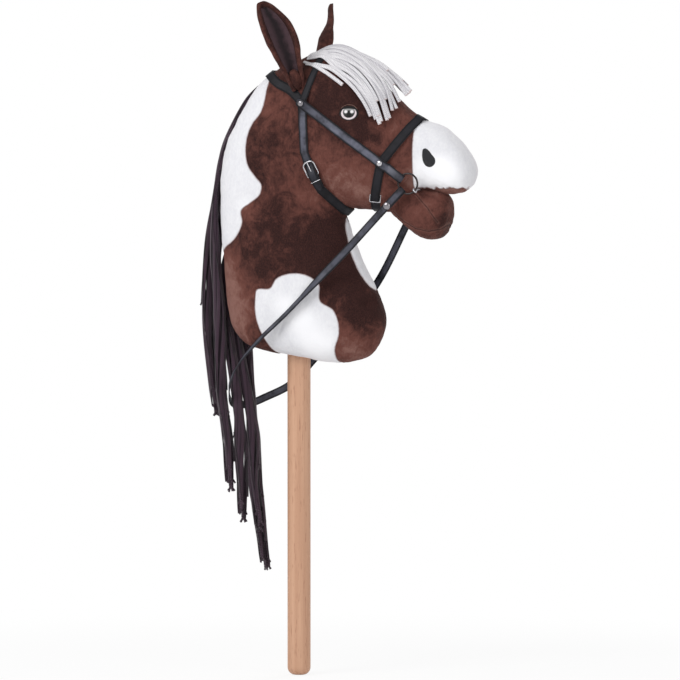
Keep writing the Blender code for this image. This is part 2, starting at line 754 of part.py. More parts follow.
def ring_fold(away, width, side, lead, tail):
    """A strap end folded round a bit ring: in on the outer layer, round the wire, back on the inner layer."""
    sign = -1 if side == "right" else 1
    x, y, z = RING_CENTRE
    bend = RING_WIRE / 2 + RING_PLAY + STRAP_THICKNESS / 2
    depth = fold_depth(width)
    closed = STRAP_THICKNESS + STRAP_GAP
    section = [(depth + lead * t, y + bend) for t in np.linspace(1, 0, max(2, round(lead / STRAP_STEP) + 1))]
    for turn in np.radians((30, 60, 90, 120, 150)):
        section.append((depth - bend * math.sin(turn), y + bend * math.cos(turn)))
    for t in (0.0, 0.2, 0.45, 0.7, 1.0):
        ease = t * t * (3 - 2 * t)
        section.append((depth + tail * t, y - bend + (2 * bend - closed) * ease))
    points = [(x + away[0] * d, sign * side_y, z + away[1] * d + POLE_SHOWN) for d, side_y in section]
    return flat_rows(points, (-sign * away[1], 0, sign * away[0]), width)


# Hardware


def turned(name, profile, place, axis, finish, steps=16):
    """A turned piece: profile (radius, height) from its top down its outer side, set at a place along an axis."""
    mesh = bpy.data.meshes.new(name)
    mesh.from_pydata([(r, 0, h) for r, h in profile], [(i, i + 1) for i in range(len(profile) - 1)], [])
    piece = named(bpy.data.objects.new(name, mesh), name, finish)
    modifier(
        piece, "SCREW", "turn", steps=steps, render_steps=steps, use_merge_vertices=True, merge_threshold=0.00001
    )
    piece.location = place
    piece.rotation_euler = Vector((0, 0, 1)).rotation_difference(Vector(axis)).to_euler()
    return shade(piece)


def rivet(name, point, side, head, skin, layers, straps):
    """A domed rivet through the straps at a side-view place. Its shank ends just over the skin, if there is any."""
    sign = -1 if side == "right" else 1
    x, z = point[0], point[1] + POLE_SHOWN
    inward = Vector((0, -sign, 0))
    top = layers.ray_cast(Vector((x, sign * 0.1, z)), inward)[0]
    rim = head * RIVET_RIM / 2
    ring = [(math.cos(a) * rim, math.sin(a) * rim) for a in np.radians(range(0, 360, 45))]
    axis = Vector((0, sign, 0))
    for dx, dz in ring:
        hit, normal, _, _ = layers.ray_cast(Vector((x + dx, sign * 0.1, z + dz)), inward, 0.1)
        axis += normal if hit is not None and (hit - top).length < head else Vector((0, sign, 0))
    axis.normalize()
    side_way = axis.orthogonal().normalized()
    rise = 0.0
    for dx, dz in ring:
        off = side_way * dx + axis.cross(side_way) * dz
        hit = layers.ray_cast(top + off + axis * 0.01, -axis, 0.012)[0]
        if hit is not None:
            rise = max(rise, (hit - top).dot(axis))
    shank, dome, height = RIVET_SHANK / 2, head / 2, head * RIVET_RISE
    depth = 2 * STRAP_THICKNESS + 2 * STRAP_GAP
    starts = [top + side_way * dx + axis.cross(side_way) * dz for dx, dz in np.array(ring) * shank / rim]
    under = [skin.ray_cast(start, -axis, 0.011)[0] for start in starts]
    if all(hit is not None for hit in under):
        depth = min((start - hit).length for start, hit in zip(starts, under)) - STRAP_GAP
    seat = rise + STRAP_GAP
    profile = [(dome * math.sin(a), seat + height * math.cos(a)) for a in np.radians((0, 25, 50, 70, 90))]
    profile += [(shank, seat), (shank, -depth), (0, -depth)]
    drill = rod_cutter(
        f"{name}_hole", top - axis * depth / 2, axis, shank + HOLE_CLEARANCE, depth + 0.008, 16
    )
    for strap in straps:
        cut(strap, drill)
    return turned(name, profile, top, axis, steel)


def torus(name, major, minor, place, axis, finish, around=32, section=8, collection=None):
    bpy.ops.mesh.primitive_torus_add(
        major_radius=major, minor_radius=minor, major_segments=around, minor_segments=section
    )
    ring = named(bpy.context.active_object, name, finish, collection)
    ring.location = place
    ring.rotation_euler = Vector((0, 0, 1)).rotation_difference(Vector(axis)).to_euler()
    return shade(ring, 60)


def wire(name, points, diameter, finish, closed=True, resolution=2, radii=None):
    """A bent wire: a curve with round section through the points."""
    curve = bpy.data.curves.new(name, "CURVE")
    curve.dimensions = "3D"
    curve.bevel_depth = diameter / 2
    curve.bevel_resolution = resolution
    curve.use_fill_caps = True
    spline = curve.splines.new("POLY")
    spline.points.add(len(points) - 1)
    for i, point in enumerate(points):
        spline.points[i].co = (*point, 1)
        spline.points[i].radius = 1.0 if radii is None else radii[i]
    spline.use_cyclic_u = closed
    return named(bpy.data.objects.new(name, curve), name, finish)


def make_bit():
    """Two loose rings and a mouthpiece whose eyes close round their wires."""
    x, y, z = RING_CENTRE
    z += POLE_SHOWN
    mouth_x, mouth_z = mouthpiece_place()
    turn = math.radians(MOUTHPIECE_ANGLE)
    tangent = (-math.sin(turn), 0, math.cos(turn))
    eye = RING_WIRE / 2 + EYE_PLAY + EYE_WIRE / 2
    bpy.ops.mesh.primitive_cylinder_add(
        vertices=20, radius=MOUTHPIECE_DIAMETER / 2, depth=2 * (y - eye), location=(mouth_x, 0, mouth_z),
        rotation=(math.pi / 2, 0, 0),
    )
    bar = shade(named(bpy.context.active_object, "bit_mouthpiece", steel))
    for side, sign in (("right", -1), ("left", 1)):
        torus(f"bit_ring_{side}", RING_RADIUS, RING_WIRE / 2, (x, sign * y, z), (0, 1, 0), nickel)
        end = torus(
            f"bit_eye_{side}", eye, EYE_WIRE / 2, (mouth_x, sign * y, mouth_z), tangent, steel, 20, 8, cutters
        )
        cut(bar, as_cutter(end), "UNION")
    return bar


# Throat buckle: measured up the strap from the bar (u), across it (v) and outward (n) from the plane under it


def buckle_axes(skin):
    """The place under the bar and the three directions, on a plane that lies on the skin's highest point there."""
    x, z = BUCKLE_BAR[0], BUCKLE_BAR[1] + POLE_SHOWN
    place = skin.ray_cast(Vector((x, -0.1, z)), Vector((0, 1, 0)))[0]
    aim = toward(BUCKLE_BAR, BUCKLE_AIM)
    upper = skin.ray_cast(Vector((x + aim[0] * 0.024, -0.1, z + aim[1] * 0.024)), Vector((0, 1, 0)))[0]
    up = (upper - place).normalized()
    across = Vector((0, -1, 0)).cross(up).normalized()
    outward = up.cross(across)
    rise = 0.0
    for u in np.linspace(-0.014, 0.022, 10):
        for v in np.linspace(-0.008, 0.008, 5):
            start = place + up * u + across * v + outward * 0.02
            hit = skin.ray_cast(start, -outward, 0.04)[0]
            if hit is not None:
                rise = max(rise, (hit - place).dot(outward))
    return place + outward * rise, up, across, outward


def in_frame(axes, u, v, n):
    place, up, across, outward = axes
    return place + up * u + across * v + outward * n


def frame_rows(axes, section, direction):
    """A strap through the buckle, from its middle line (u, n); direction is 1 when it runs up the strap."""
    points = np.array([in_frame(axes, u, 0, n) for u, n in section])
    return flat_rows(points, np.array(axes[2]) * direction, STRAP_WIDTH)


def buckle_levels():
    """Heights over the skin plane: lower strap, bar, upper layer of the fold, and the billet over them."""
    low = KEEPER_WIRE + 2 * KEEPER_GAP + STRAP_THICKNESS / 2
    bend = BUCKLE_WIRE / 2 + STRAP_GAP + STRAP_THICKNESS / 2
    bar = low + bend
    over = bar + BUCKLE_WIRE / 2 + 2 * PRONG_PLAY + PRONG_WIRE + STRAP_THICKNESS / 2 + BILLET_PLAY
    return low, bend, bar, over


def chape_section():
    """The throatlatch's end: straight up to the bar, round it and back down for a short tail."""
    low, bend, bar, _ = buckle_levels()
    section = [(-0.014, low), (-0.008, low), (0, low)]
    section += [(bend * math.sin(a), bar - bend * math.cos(a)) for a in np.radians((30, 60, 90, 120, 150))]
    high, closed = bar + bend, low + STRAP_THICKNESS + STRAP_GAP
    for t in (0, 0.25, 0.5, 0.75, 1):
        section.append((-0.012 * t, high + (closed - high) * t * t * (3 - 2 * t)))
    return section


def billet_section():
    """The billet: under the frame's tip, up through the frame, over the bar and the tail, and flat again."""
    low, _, _, over = buckle_levels()
    rise = over - low
    heights_down = (
        (0.0170, 0), (0.0140, 0), (0.0115, 0.19), (0.0090, 0.42), (0.0065, 0.66), (0.0040, 0.88), (0.0015, 1),
        (-0.0015, 1), (-0.0035, 0.93), (-0.0060, 0.80), (-0.0085, 0.68), (-0.0120, 0.57), (-0.0150, 0.46),
        (-0.0180, 0.36), (-0.0210, 0.32),
    )
    return [(u, low + rise * share) for u, share in heights_down]


def make_buckle(axes, straps):
    """Frame, swinging prong and wire keeper, with the slots that the prong needs in both straps."""
    low, _, bar, over = buckle_levels()
    half = STRAP_WIDTH / 2 + BUCKLE_SIDE_PLAY + BUCKLE_WIRE / 2
    outline = []
    for corner, sx, sy, quarter in ((0.0050, 1, 1, 0), (0.0014, 0, 1, 1), (0.0014, 0, -1, 2), (0.0050, 1, -1, 3)):
        for i in range(5):
            turn = math.pi / 2 * (quarter + i / 4)
            u = (BUCKLE_LENGTH - corner if sx else corner) + corner * math.cos(turn)
            outline.append((u, sy * (half - corner) + corner * math.sin(turn)))
    wire("throat_buckle", [in_frame(axes, u, v, bar) for u, v in outline], BUCKLE_WIRE, steel)

    place, up, across, outward = axes
    pivot = in_frame(axes, 0, 0, bar)
    loop = BUCKLE_WIRE / 2 + PRONG_PLAY + PRONG_WIRE / 2
    prong = torus("throat_buckle_prong", loop, PRONG_WIRE / 2, pivot, across, steel, 20, 8)
    tip, thick = BUCKLE_LENGTH + 0.0015, PRONG_WIRE / 2
    profile = [(0, tip), (thick * 0.6, tip - thick * 0.15), (thick, tip - thick), (thick, 0), (0, 0)]
    finger = turned("prong_finger", profile, pivot + outward * loop, up, steel, 12)
    cut(prong, as_cutter(named(finger, "prong_finger", steel, cutters)), "UNION")

    side = STRAP_WIDTH / 2 + STRAP_GAP + KEEPER_WIRE / 2
    bottom = low - STRAP_THICKNESS / 2 - STRAP_GAP - KEEPER_WIRE / 2
    roof = low + (over - low) * KEEPER_SHARE + STRAP_THICKNESS / 2 + STRAP_GAP + KEEPER_WIRE / 2 + 2 * BILLET_PLAY
    middle, rise = (bottom + roof) / 2, (roof - bottom) / 2
    ring = [in_frame(axes, -0.008, v, middle + n) for v, n in rounded_loop(side, rise, 0.0008, 3)]
    wire("throat_keeper", ring, KEEPER_WIRE, steel, resolution=1)

    slot = PRONG_WIRE / 2 + PRONG_SLOT_PLAY
    for name, (first, last, top) in PRONG_SLOTS.items():
        bpy.ops.mesh.primitive_cube_add(size=1)
        cutter = as_cutter(named(bpy.context.active_object, f"{name}_slot", steel, cutters))
        cutter.scale = (last - first, 2 * slot, top)
        cutter.location = in_frame(axes, (first + last) / 2, 0, top / 2 - 0.0005)
        cutter.rotation_euler = Matrix((up, across, outward)).transposed().to_euler()
        cut(straps[name], cutter)


def rounded_loop(half_length, half_width, corner, steps=4):
    """Points of a rectangle with round corners in a plane, as (along, across)."""
    points = []
    for quarter, (sx, sy) in enumerate(((1, 1), (-1, 1), (-1, -1), (1, -1))):
        for i in range(steps + 1):
            turn = math.pi / 2 * (quarter + i / steps)
            points.append(
                (
                    sx * (half_length - corner) + corner * math.cos(turn),
                    sy * (half_width - corner) + corner * math.sin(turn),
                )
            )
    return points


def make_slide(rows):
    """A square wire slide: the jaw strap goes over its first bar and under its second."""
    middle = (rows[:, :3] + rows[:, 3:]) / 2
    along = lengths(middle)
    reach = STRAP_THICKNESS / 2 + STRAP_GAP + SLIDE_WIRE / 2
    half = STRAP_WIDTH / 2 + STRAP_GAP + SLIDE_WIRE / 2
    corners = []
    for at, side in ((SLIDE_AT, -1), (SLIDE_AT + SLIDE_LENGTH, 1)):
        centre, ahead, back, first, second = (
            np.array([np.interp(at + step, along, column) for column in source.T])
            for step, source in ((0, middle), (0.002, middle), (-0.002, middle), (0, rows[:, :3]), (0, rows[:, 3:]))
        )
        across = (second - first) / np.linalg.norm(second - first)
        outward = np.cross(across, ahead - back)
        outward /= np.linalg.norm(outward)
        corners.append((centre + outward * side * reach, across * half))
    (low, across_low), (high, across_high) = corners
    loop = [low - across_low, low + across_low, high + across_high, high - across_high]
    bevelled = []
    for i, corner in enumerate(loop):
        for neighbour in (loop[i - 1], loop[(i + 1) % 4]):
            bevelled.append(corner + (neighbour - corner) / np.linalg.norm(neighbour - corner) * 0.0008)
    wire("jaw_strap_slide", bevelled, SLIDE_WIRE, steel)


# Panels and embroidery laid on the stuffed forms


def laid_panel(name, outline, side, skin, finish, thickness, cell, centre=(0, 0)):
    """A cloth panel: its outline is cut into cells, dropped on the skin and given its thickness."""
    way = {"right": (0, -1, 0), "left": (0, 1, 0), "front": (1, 0, 0)}[side]
    edge = catmull(np.array(outline, float) * MM, 2, closed=True) + np.array(centre)
    edge[:, 1] += POLE_SHOWN
    bm = bmesh.new()
    k = 1 if side == "front" else 0
    bm.faces.new([bm.verts.new((0, p, z) if k else (p, 0, z)) for p, z in edge])
    low, high = edge.min(0), edge.max(0)
    for column, normal in ((0, (0, 1, 0) if k else (1, 0, 0)), (1, (0, 0, 1))):
        count = max(1, round((high[column] - low[column]) / cell))
        for at in np.linspace(low[column], high[column], count + 1)[1:-1]:
            geometry = bm.verts[:] + bm.edges[:] + bm.faces[:]
            point = [at * part for part in normal]
            bmesh.ops.bisect_plane(bm, geom=geometry, plane_co=point, plane_no=normal, dist=0.0008)
    bmesh.ops.remove_doubles(bm, verts=bm.verts, dist=0.0008)
    bm.verts.index_update()
    room = SKIN_GAP + thickness / 2
    points, normals = [], []
    for vert in bm.verts:
        hit, normal, _, _ = skin.ray_cast(vert.co + Vector(way) * 0.25, -Vector(way), 0.25)
        points.append(hit + normal * room)
        normals.append(normal)
    faces = [[vert.index for vert in face.verts] for face in bm.faces]
    points = lifted(skin, points, faces, np.array(normals), room)
    for vert, point in zip(bm.verts, points):
        vert.co = point
    bmesh.ops.recalc_face_normals(bm, faces=bm.faces[:])
    panel = object_from_bmesh(bm, name, finish)
    modifier(panel, "SOLIDIFY", "cloth", thickness=thickness, offset=0, use_even_offset=False)
    return shade(panel)


# Hair


def make_lock(name, points, skin):
    """A lock of the mane: a tube that swells below its root and tapers to its end, held off whatever is near."""
    path = even(catmull(route(points), 6), 0.024)
    share = np.linspace(0, 1, len(path))
    radii = np.interp(share, LOCK_TAPER[0], LOCK_TAPER[1])
    for _ in range(8):
        for i in range(len(path) - 1):
            for t in (0, 0.33, 0.67):
                point = Vector(path[i] * (1 - t) + path[i + 1] * t)
                rooted = i < 3 and t == 0
                need = LOCK_RADIUS * (radii[i] if rooted else max(radii[i], radii[i + 1])) + LOCK_GAP
                hit, normal, _, gap = skin.find_nearest(point, 0.05)
                if hit is None:
                    continue
                above = gap if (point - hit).dot(normal) >= 0 else -gap
                if above < need or rooted:
                    path[i] += np.array(normal) * (need - above)
                    path[i + 1] += np.array(normal) * (need - above) * t
    return wire(name, path, 2 * LOCK_RADIUS, cord, closed=False, radii=radii)


def make_forelock(skin):
    """The forelock: one soft sheet over the brow, from its middle strand out to both sides."""
    strands = [even(catmull(route(strand), 6), 0.001) for strand in FORELOCK_STRANDS]
    rows = 12
    at = np.linspace(0, 1, rows + 1)
    columns = [
        np.column_stack([np.interp(at, np.linspace(0, 1, len(strand)), part) for part in strand.T])
        for strand in strands
    ]
    grid = catmull(np.array(columns).reshape(len(columns), -1), 2).reshape(-1, rows + 1, 3)
    count = grid.shape[1]
    points = grid.reshape(-1, 3)
    faces = [
        [i * count + j, i * count + j + 1, (i + 1) * count + j + 1, (i + 1) * count + j]
        for i in range(grid.shape[0] - 1)
        for j in range(count - 1)
    ]
    down = np.gradient(grid, axis=1)
    over = np.gradient(grid, axis=0)
    outward = np.cross(over, down).reshape(-1, 3)
    outward /= np.linalg.norm(outward, axis=1)[:, None]
    if outward[:, 2].mean() < 0:
        outward = -outward
    room = FORELOCK_THICKNESS / 2 + LOCK_GAP
    points = lifted(skin, points, faces, outward, room)
    bm = bmesh.new()
    made = [bm.verts.new(point) for point in points]
    for face in faces:
        bm.faces.new([made[i] for i in face])
    bmesh.ops.recalc_face_normals(bm, faces=bm.faces[:])
    sheet = object_from_bmesh(bm, "forelock", pale)
    modifier(sheet, "SOLIDIFY", "hair", thickness=FORELOCK_THICKNESS, offset=0, use_even_offset=False)
    return shade(sheet)


# Bridle


def make_bridle(skin, bodies):
    """Each strap is laid over the skin and over the straps before it, so they stack where they cross."""
    made, rows = {}, {}

    def lay(name, layout, start=True, end=True, width=STRAP_WIDTH):
        rows[name] = layout
        made[name] = ribbon(name, layout, leather, width, start, end)
        return skin_of(bodies + list(made.values()))

    reach = STRAP_WIDTH / 2
    turn = math.degrees(reach / (HEAD_WIDTH / 2))
    layers = skin

    def bump(along):
        near = np.clip(1 - np.abs(along - SLIDE_AT) / (SLIDE_LENGTH * 0.9), 0, 1)
        return (SLIDE_WIRE + STRAP_GAP) * near * near * (3 - 2 * near)

    jaw_up = toward(JAW_UNDER, NOSE_RIVET)
    jaw = hug(layers, sweep(turn, -180 - turn, NOSE_RIVET), jaw_up, STRAP_WIDTH, bump, reach=0.075)
    layers = lay("jaw_strap", jaw)
    layers = lay(
        "noseband", hug(layers, sweep(-turn, 180 + turn, NOSE_RIVET), toward(NOSE_RIVET, NOSE_RIDGE), STRAP_WIDTH)
    )
    crown = list(CROWN_STATIONS) + [(180 - angle, x, z) for angle, x, z in reversed(CROWN_STATIONS[:-1])]
    layers = lay("crownpiece", hug(layers, crown, CROWN_UP, STRAP_WIDTH))

    axes = buckle_axes(skin)
    upper = past(BUCKLE_AIM, POLL_RIVET, reach)
    billet = hug(
        layers, side_rays((upper, POLL_RIVET, *BILLET_LINE, BUCKLE_AIM), "right"), UPRIGHT, STRAP_WIDTH
    )
    throat = side_rays((upper, POLL_RIVET, *THROAT_LINE), "left")
    under = list(THROAT_UNDER) + [(540 - angle, x, z) for angle, x, z in reversed(THROAT_UNDER[:-1])]
    start = in_frame(axes, -0.020, 0, buckle_levels()[0])
    last = (360, start.x, start.z - POLE_SHOWN)
    chape = hug(layers, throat + under + [last], THROAT_UP, STRAP_WIDTH, reach=0.055, held=-start.y)
    layers = lay("throatlatch", np.vstack([chape, frame_rows(axes, chape_section(), 1)]), True, False)
    layers = lay("throat_billet", np.vstack([billet, frame_rows(axes, billet_section(), -1)]))
    brow = hug(layers, sweep(-turn, 180 + turn, POLL_RIVET), toward(POLL_RIVET, BROW_TOP), BROWBAND_WIDTH)
    layers = lay("browband", brow, width=BROWBAND_WIDTH)
    ring = (RING_CENTRE[0], RING_CENTRE[2])
    for side in ("right", "left"):
        line = (past(NOSE_RIVET, POLL_RIVET, reach), POLL_RIVET, NOSE_RIVET, past(POLL_RIVET, NOSE_RIVET, 0.008))
        cheek = hug(layers, side_rays(line, side), UPRIGHT, STRAP_WIDTH)
        folded = ring_fold(toward(ring, NOSE_RIVET), STRAP_WIDTH, side, 0.008, 0.013)
        hung = clear_rows(layers, even_rows(np.vstack([cheek, folded[:1]]), STRAP_STEP), SKIN_GAP)
        layers = lay(f"cheekpiece_{side}", np.vstack([hung[:-1], folded]), True, True)
        depth = fold_depth(REIN_WIDTH)
        away = np.array(REIN_AWAY[side]) / math.hypot(*REIN_AWAY[side])
        end = ring_fold(away, REIN_WIDTH, side, REIN_END_REACH - depth, REIN_STUD_REACH + 0.005 - depth)
        layers = lay(f"rein_end_{side}", end, False, True, REIN_WIDTH)

    for side in ("right", "left"):
        throat_strap = "throat_billet" if side == "right" else "throatlatch"
        away = np.array(REIN_AWAY[side]) / math.hypot(*REIN_AWAY[side])
        stud = np.array(ring) + away * REIN_STUD_REACH
        for name, point, head, names in (
            ("poll_rivet", POLL_RIVET, RIVET_HEAD, ("crownpiece", throat_strap, "browband", f"cheekpiece_{side}")),
            ("nose_rivet", NOSE_RIVET, RIVET_HEAD, ("jaw_strap", "noseband", f"cheekpiece_{side}")),
            ("rein_stud", stud, STUD_HEAD, (f"rein_end_{side}",)),
        ):
            rivet(f"{name}_{side}", point, side, head, skin, layers, [made[strap] for strap in names])
    make_buckle(axes, made)
    make_slide(rows["jaw_strap"])
    return made, rows


def rein_start(side):
    """The free rein's first place, just past the end of the folded strap."""
    sign = -1 if side == "right" else 1
    x, y, z = RING_CENTRE
    away = np.array(REIN_AWAY[side]) / math.hypot(*REIN_AWAY[side])
    reach = REIN_END_REACH + STRAP_GAP
    side_y = y + RING_WIRE / 2 + RING_PLAY + STRAP_THICKNESS / 2
    return (x + away[0] * reach, sign * side_y, z + away[1] * reach + POLE_SHOWN), away


def make_rein(skin):
    """The free rein: one flat strap from the right end, round behind the neck and back to the left end."""
    first, out_right = rein_start("right")
    last, out_left = rein_start("left")
    lead_right = np.array(first) + 0.012 * np.array((out_right[0], 0, out_right[1]))
    lead_left = np.array(last) + 0.012 * np.array((out_left[0], 0, out_left[1]))
    points = np.vstack([first, lead_right, route(REIN_ROUTE), lead_left, last])
    path = even(catmull(points, 6), 0.0112)
    behind = np.minimum(path[:, 0] + REIN_BACK, 0)
    outward = np.column_stack([behind, path[:, 1], np.zeros(len(path))])
    outward /= np.linalg.norm(outward, axis=1)[:, None]
    rolled = np.interp(path[:, 0], *REIN_ROLL) * (path[:, 1] < 0)
    outward[:, 2] = np.tan(np.radians(rolled))
    across = np.cross(outward, np.gradient(path, axis=0))
    across /= np.linalg.norm(across, axis=1)[:, None]
    rows = np.hstack([path + across * REIN_WIDTH / 2, path - across * REIN_WIDTH / 2])
    return ribbon("rein", rows, leather)


for leftover in list(bpy.data.objects):
    bpy.data.objects.remove(leftover)
parts = bpy.data.collections.new("hobby_horse")
cutters = bpy.data.collections.new("cutters")
for made in (parts, cutters):
    bpy.context.scene.collection.children.link(made)

beech = material("beech", (0.62, 0.36, 0.22), 0.55)
brown = material("brown_plush", (0.085, 0.030, 0.022), 0.9)
white = material("white_plush", (0.86, 0.85, 0.86), 0.9)
dark = material("dark_lining", (0.030, 0.018, 0.022), 0.9)
leather = material("black_strap", (0.020, 0.021, 0.024), 0.42)
steel = material("steel", (0.70, 0.70, 0.72), 0.22, 1.0)
nickel = material("dark_nickel", (0.16, 0.15, 0.15), 0.30, 1.0)
cord = material("mane_cord", (0.035, 0.022, 0.032), 0.85)
pale = material("forelock_cord", (0.85, 0.83, 0.82), 0.8)
thread = material("embroidery", (0.05, 0.05, 0.05), 0.6)

make_pole()
forms = make_forms()
skin = skin_of(forms["bodies"])
ears = [made for side in ("right", "left") for made in make_ear(side, forms)]
neck_skin = skin_of(forms["bodies"][:1])
panels = [laid_panel("chest_gusset", GUSSET_OUTLINE, "front", neck_skin, white, PANEL_THICKNESS, PANEL_CELL)]
for side in ("right", "left"):
    for name, outline, finish, cell, centre in (
        ("crest_panel", CREST_OUTLINE, white, PANEL_CELL, (0, 0)),
        ("shoulder_patch", SHOULDER_OUTLINE, white, PANEL_CELL, (0, 0)),
        ("eye", EYE_OUTLINE, thread, PANEL_CELL, EYE_CENTRE),
        ("nostril", NOSTRIL_OUTLINE, thread, PANEL_CELL, NOSTRIL_CENTRE),
    ):
        panels.append(laid_panel(f"{name}_{side}", outline, side, skin, finish, PANEL_THICKNESS, cell, centre))
bodies = forms["bodies"] + panels
straps, strap_rows = make_bridle(skin_of(bodies), bodies)
for name in ("crownpiece", "browband"):
    room = strap_room(f"{name}_room", strap_rows[name])
    for ear in ears:
        cut(ear, room)
make_bit()
rein = make_rein(skin_of(bodies))
make_forelock(skin_of(bodies + list(straps.values()) + ears))
under_mane = skin_of(bodies + [rein])
for name, points in LOCKS.items():
    make_lock(name, points, under_mane)
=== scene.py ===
import math

import bmesh
import bpy
import numpy as np
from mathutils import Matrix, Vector
from mathutils.bvhtree import BVHTree
from mathutils.kdtree import KDTree


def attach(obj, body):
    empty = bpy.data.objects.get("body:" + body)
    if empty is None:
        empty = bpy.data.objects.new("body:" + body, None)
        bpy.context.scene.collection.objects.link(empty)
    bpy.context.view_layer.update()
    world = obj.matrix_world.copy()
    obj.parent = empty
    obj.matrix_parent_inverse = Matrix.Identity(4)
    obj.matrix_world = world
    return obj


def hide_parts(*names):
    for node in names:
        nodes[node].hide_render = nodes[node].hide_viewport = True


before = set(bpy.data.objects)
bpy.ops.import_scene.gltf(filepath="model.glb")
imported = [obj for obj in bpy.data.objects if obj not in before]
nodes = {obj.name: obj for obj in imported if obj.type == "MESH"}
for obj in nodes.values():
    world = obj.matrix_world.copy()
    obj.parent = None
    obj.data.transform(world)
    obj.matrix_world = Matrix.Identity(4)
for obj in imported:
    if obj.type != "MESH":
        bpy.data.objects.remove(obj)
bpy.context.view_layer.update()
mm = 0.001
neckBase = 0.418  # height of the place where the pole leaves the neck; side-view places are measured from it
sideSigns = {"right": -1, "left": 1}


# A colour as it reads on a screen, from 0 to 255, as the light it stands for
def tint(red, green, blue):
    shown = np.array((red, green, blue)) / 255
    light = np.where(shown <= 0.04045, shown / 12.92, ((shown + 0.055) / 1.055) ** 2.4)
    return (*light.tolist(), 1.0)


# Each vector divided by its own length
def unit(vectors):
    return vectors / np.maximum(np.linalg.norm(vectors, axis=-1, keepdims=True), 1e-9)


# Places (x, z) or (x, y, z) in millimetres from the neck's base, in metres from the foot
def places(values):
    values = np.array(values, float) * mm
    values[..., -1] += neckBase
    return values


# Distance along a line, or along each of several, at each of its points
def lengths(points):
    steps = np.linalg.norm(np.diff(points, axis=-2), axis=-1)
    return np.insert(np.cumsum(steps, -1), 0, 0, -1)


# The middle line of a ribbon, whose rows hold a place on one edge and one on the other
def middleOf(rows):
    return (rows[:, :3] + rows[:, 3:]) / 2


# A smooth curve through rows of points: cubic between neighbours, with slopes weighted by the chord lengths
def curve(points, steps, closed=False):
    points = np.asarray(points, float)
    if closed:
        padded = np.vstack([points[-1:], points, points[:2]])
    else:
        padded = np.vstack([2 * points[0] - points[1], points, 2 * points[-1] - points[-2]])
    span = np.linalg.norm(np.diff(padded, axis=0), axis=1)[:, None] + 1e-9
    slope = np.diff(padded, axis=0) / span
    lean = (span[:-1] * slope[1:] + span[1:] * slope[:-1]) / (span[:-1] + span[1:])
    t = (np.arange(steps) / steps)[None, :, None]
    start, stop, reach = padded[1:-2, None], padded[2:-1, None], span[1:-1, None]
    rows = (
        start * (2 * t**3 - 3 * t**2 + 1)
        + stop * (3 * t**2 - 2 * t**3)
        + lean[:-1, None] * reach * (t**3 - 2 * t**2 + t)
        + lean[1:, None] * reach * (t**3 - t**2)
    ).reshape(-1, points.shape[1])
    return rows if closed else np.vstack([rows, points[-1:]])


# Every column of an array read at new places along one of its own measures
def readAt(at, along, rows):
    return np.column_stack([np.interp(at, along, column) for column in np.asarray(rows).T])


# Points of a line, or both edges of a ribbon, respaced about this far apart
def even(rows, step):
    rows = np.asarray(rows, float)
    along = lengths(middleOf(rows) if rows.shape[1] == 6 else rows)
    return readAt(np.linspace(0, along[-1], max(2, round(along[-1] / step) + 1)), along, rows)


# A wandering value between about -1 and 1: sine waves of about one wavelength in many directions, added up
def ripple(points, wavelength, seed):
    chance, waves = np.random.default_rng(seed), 22
    ways = unit(chance.normal(size=(waves, 3)))
    ways = ways * 2 * math.pi / (wavelength * chance.uniform(0.7, 1.4, (waves, 1)))
    return np.sin(points @ ways.T + chance.uniform(0, 6.3, waves)).sum(-1) / math.sqrt(waves)


# Distance from each point to an open line
def awayFrom(points, line):
    run = np.diff(line, axis=0)
    gap = points[:, None] - line[:-1]
    share = np.clip((gap * run).sum(2) / (run * run).sum(1), 0, 1)
    return np.linalg.norm(gap - share[..., None] * run, axis=2).min(1)


# Distance from each point to a closed outline, positive inside it: there a level ray crosses it an odd number
# of times
def insideBy(points, outline):
    ring = np.vstack([outline, outline[:1]])
    run = np.diff(ring, axis=0)
    above = ring[:, 1] > points[:, 1:]
    slant = run[:, 0] / np.where(run[:, 1] == 0, 1e-12, run[:, 1])
    crossing = outline[:, 0] + (points[:, 1:] - outline[:, 1]) * slant
    crossed = (above[:, :-1] != above[:, 1:]) & (points[:, :1] < crossing)
    return np.where(crossed.sum(1) % 2 == 1, 1, -1) * awayFrom(points, ring)


# Quads between the neighbouring rows and columns of a grid, or of each of several; around closes the columns,
# along the rows, and rows that stay open are capped
def gridFaces(grid, around=True, along=False):
    shape = (1, *grid.shape[:-1])[-3:]
    at = np.arange(math.prod(shape)).reshape(shape)
    here, right = (at, np.roll(at, -1, 2)) if around else (at[:, :, :-1], at[:, :, 1:])
    ahead, aheadRight = (np.roll(side, -1, 1) if along else side[:, 1:] for side in (here, right))
    here, right = (side[:, : ahead.shape[1]] for side in (here, right))
    faces = np.stack([here, right, aheadRight, ahead], -1).reshape(-1, 4).tolist()
    return faces + (at[:, 0, ::-1].tolist() + at[:, -1].tolist() if around and not along else [])


# A flat section carried along lines: sideways is the cross of the facing direction and the run, and up is the
# cross of the run and sideways
def carried(path, facing, section, closed=False):
    run = unit(np.roll(path, -1, -2) - np.roll(path, 1, -2) if closed else np.gradient(path, axis=-2))
    sideways = unit(np.cross(facing, run))
    across, up = sideways[..., None, :], np.cross(run, sideways)[..., None, :]
    return path[..., None, :] + across * section[..., :1] + up * section[..., 1:]


# Points of an ellipse, squarer as the power falls below 1
def oval(width, height, count, power=1.0):
    turn = np.linspace(0, 2 * math.pi, count, endpoint=False)
    bend = [np.sign(part) * np.abs(part) ** power for part in (np.cos(turn), np.sin(turn))]
    return np.column_stack([bend[0] * width / 2, bend[1] * height / 2])


# Turns every closed shell of a mesh to face outwards
def faceOutward(mesh):
    work = bmesh.new()
    work.from_mesh(mesh)
    bmesh.ops.recalc_face_normals(work, faces=work.faces)
    work.to_mesh(mesh)
    work.free()


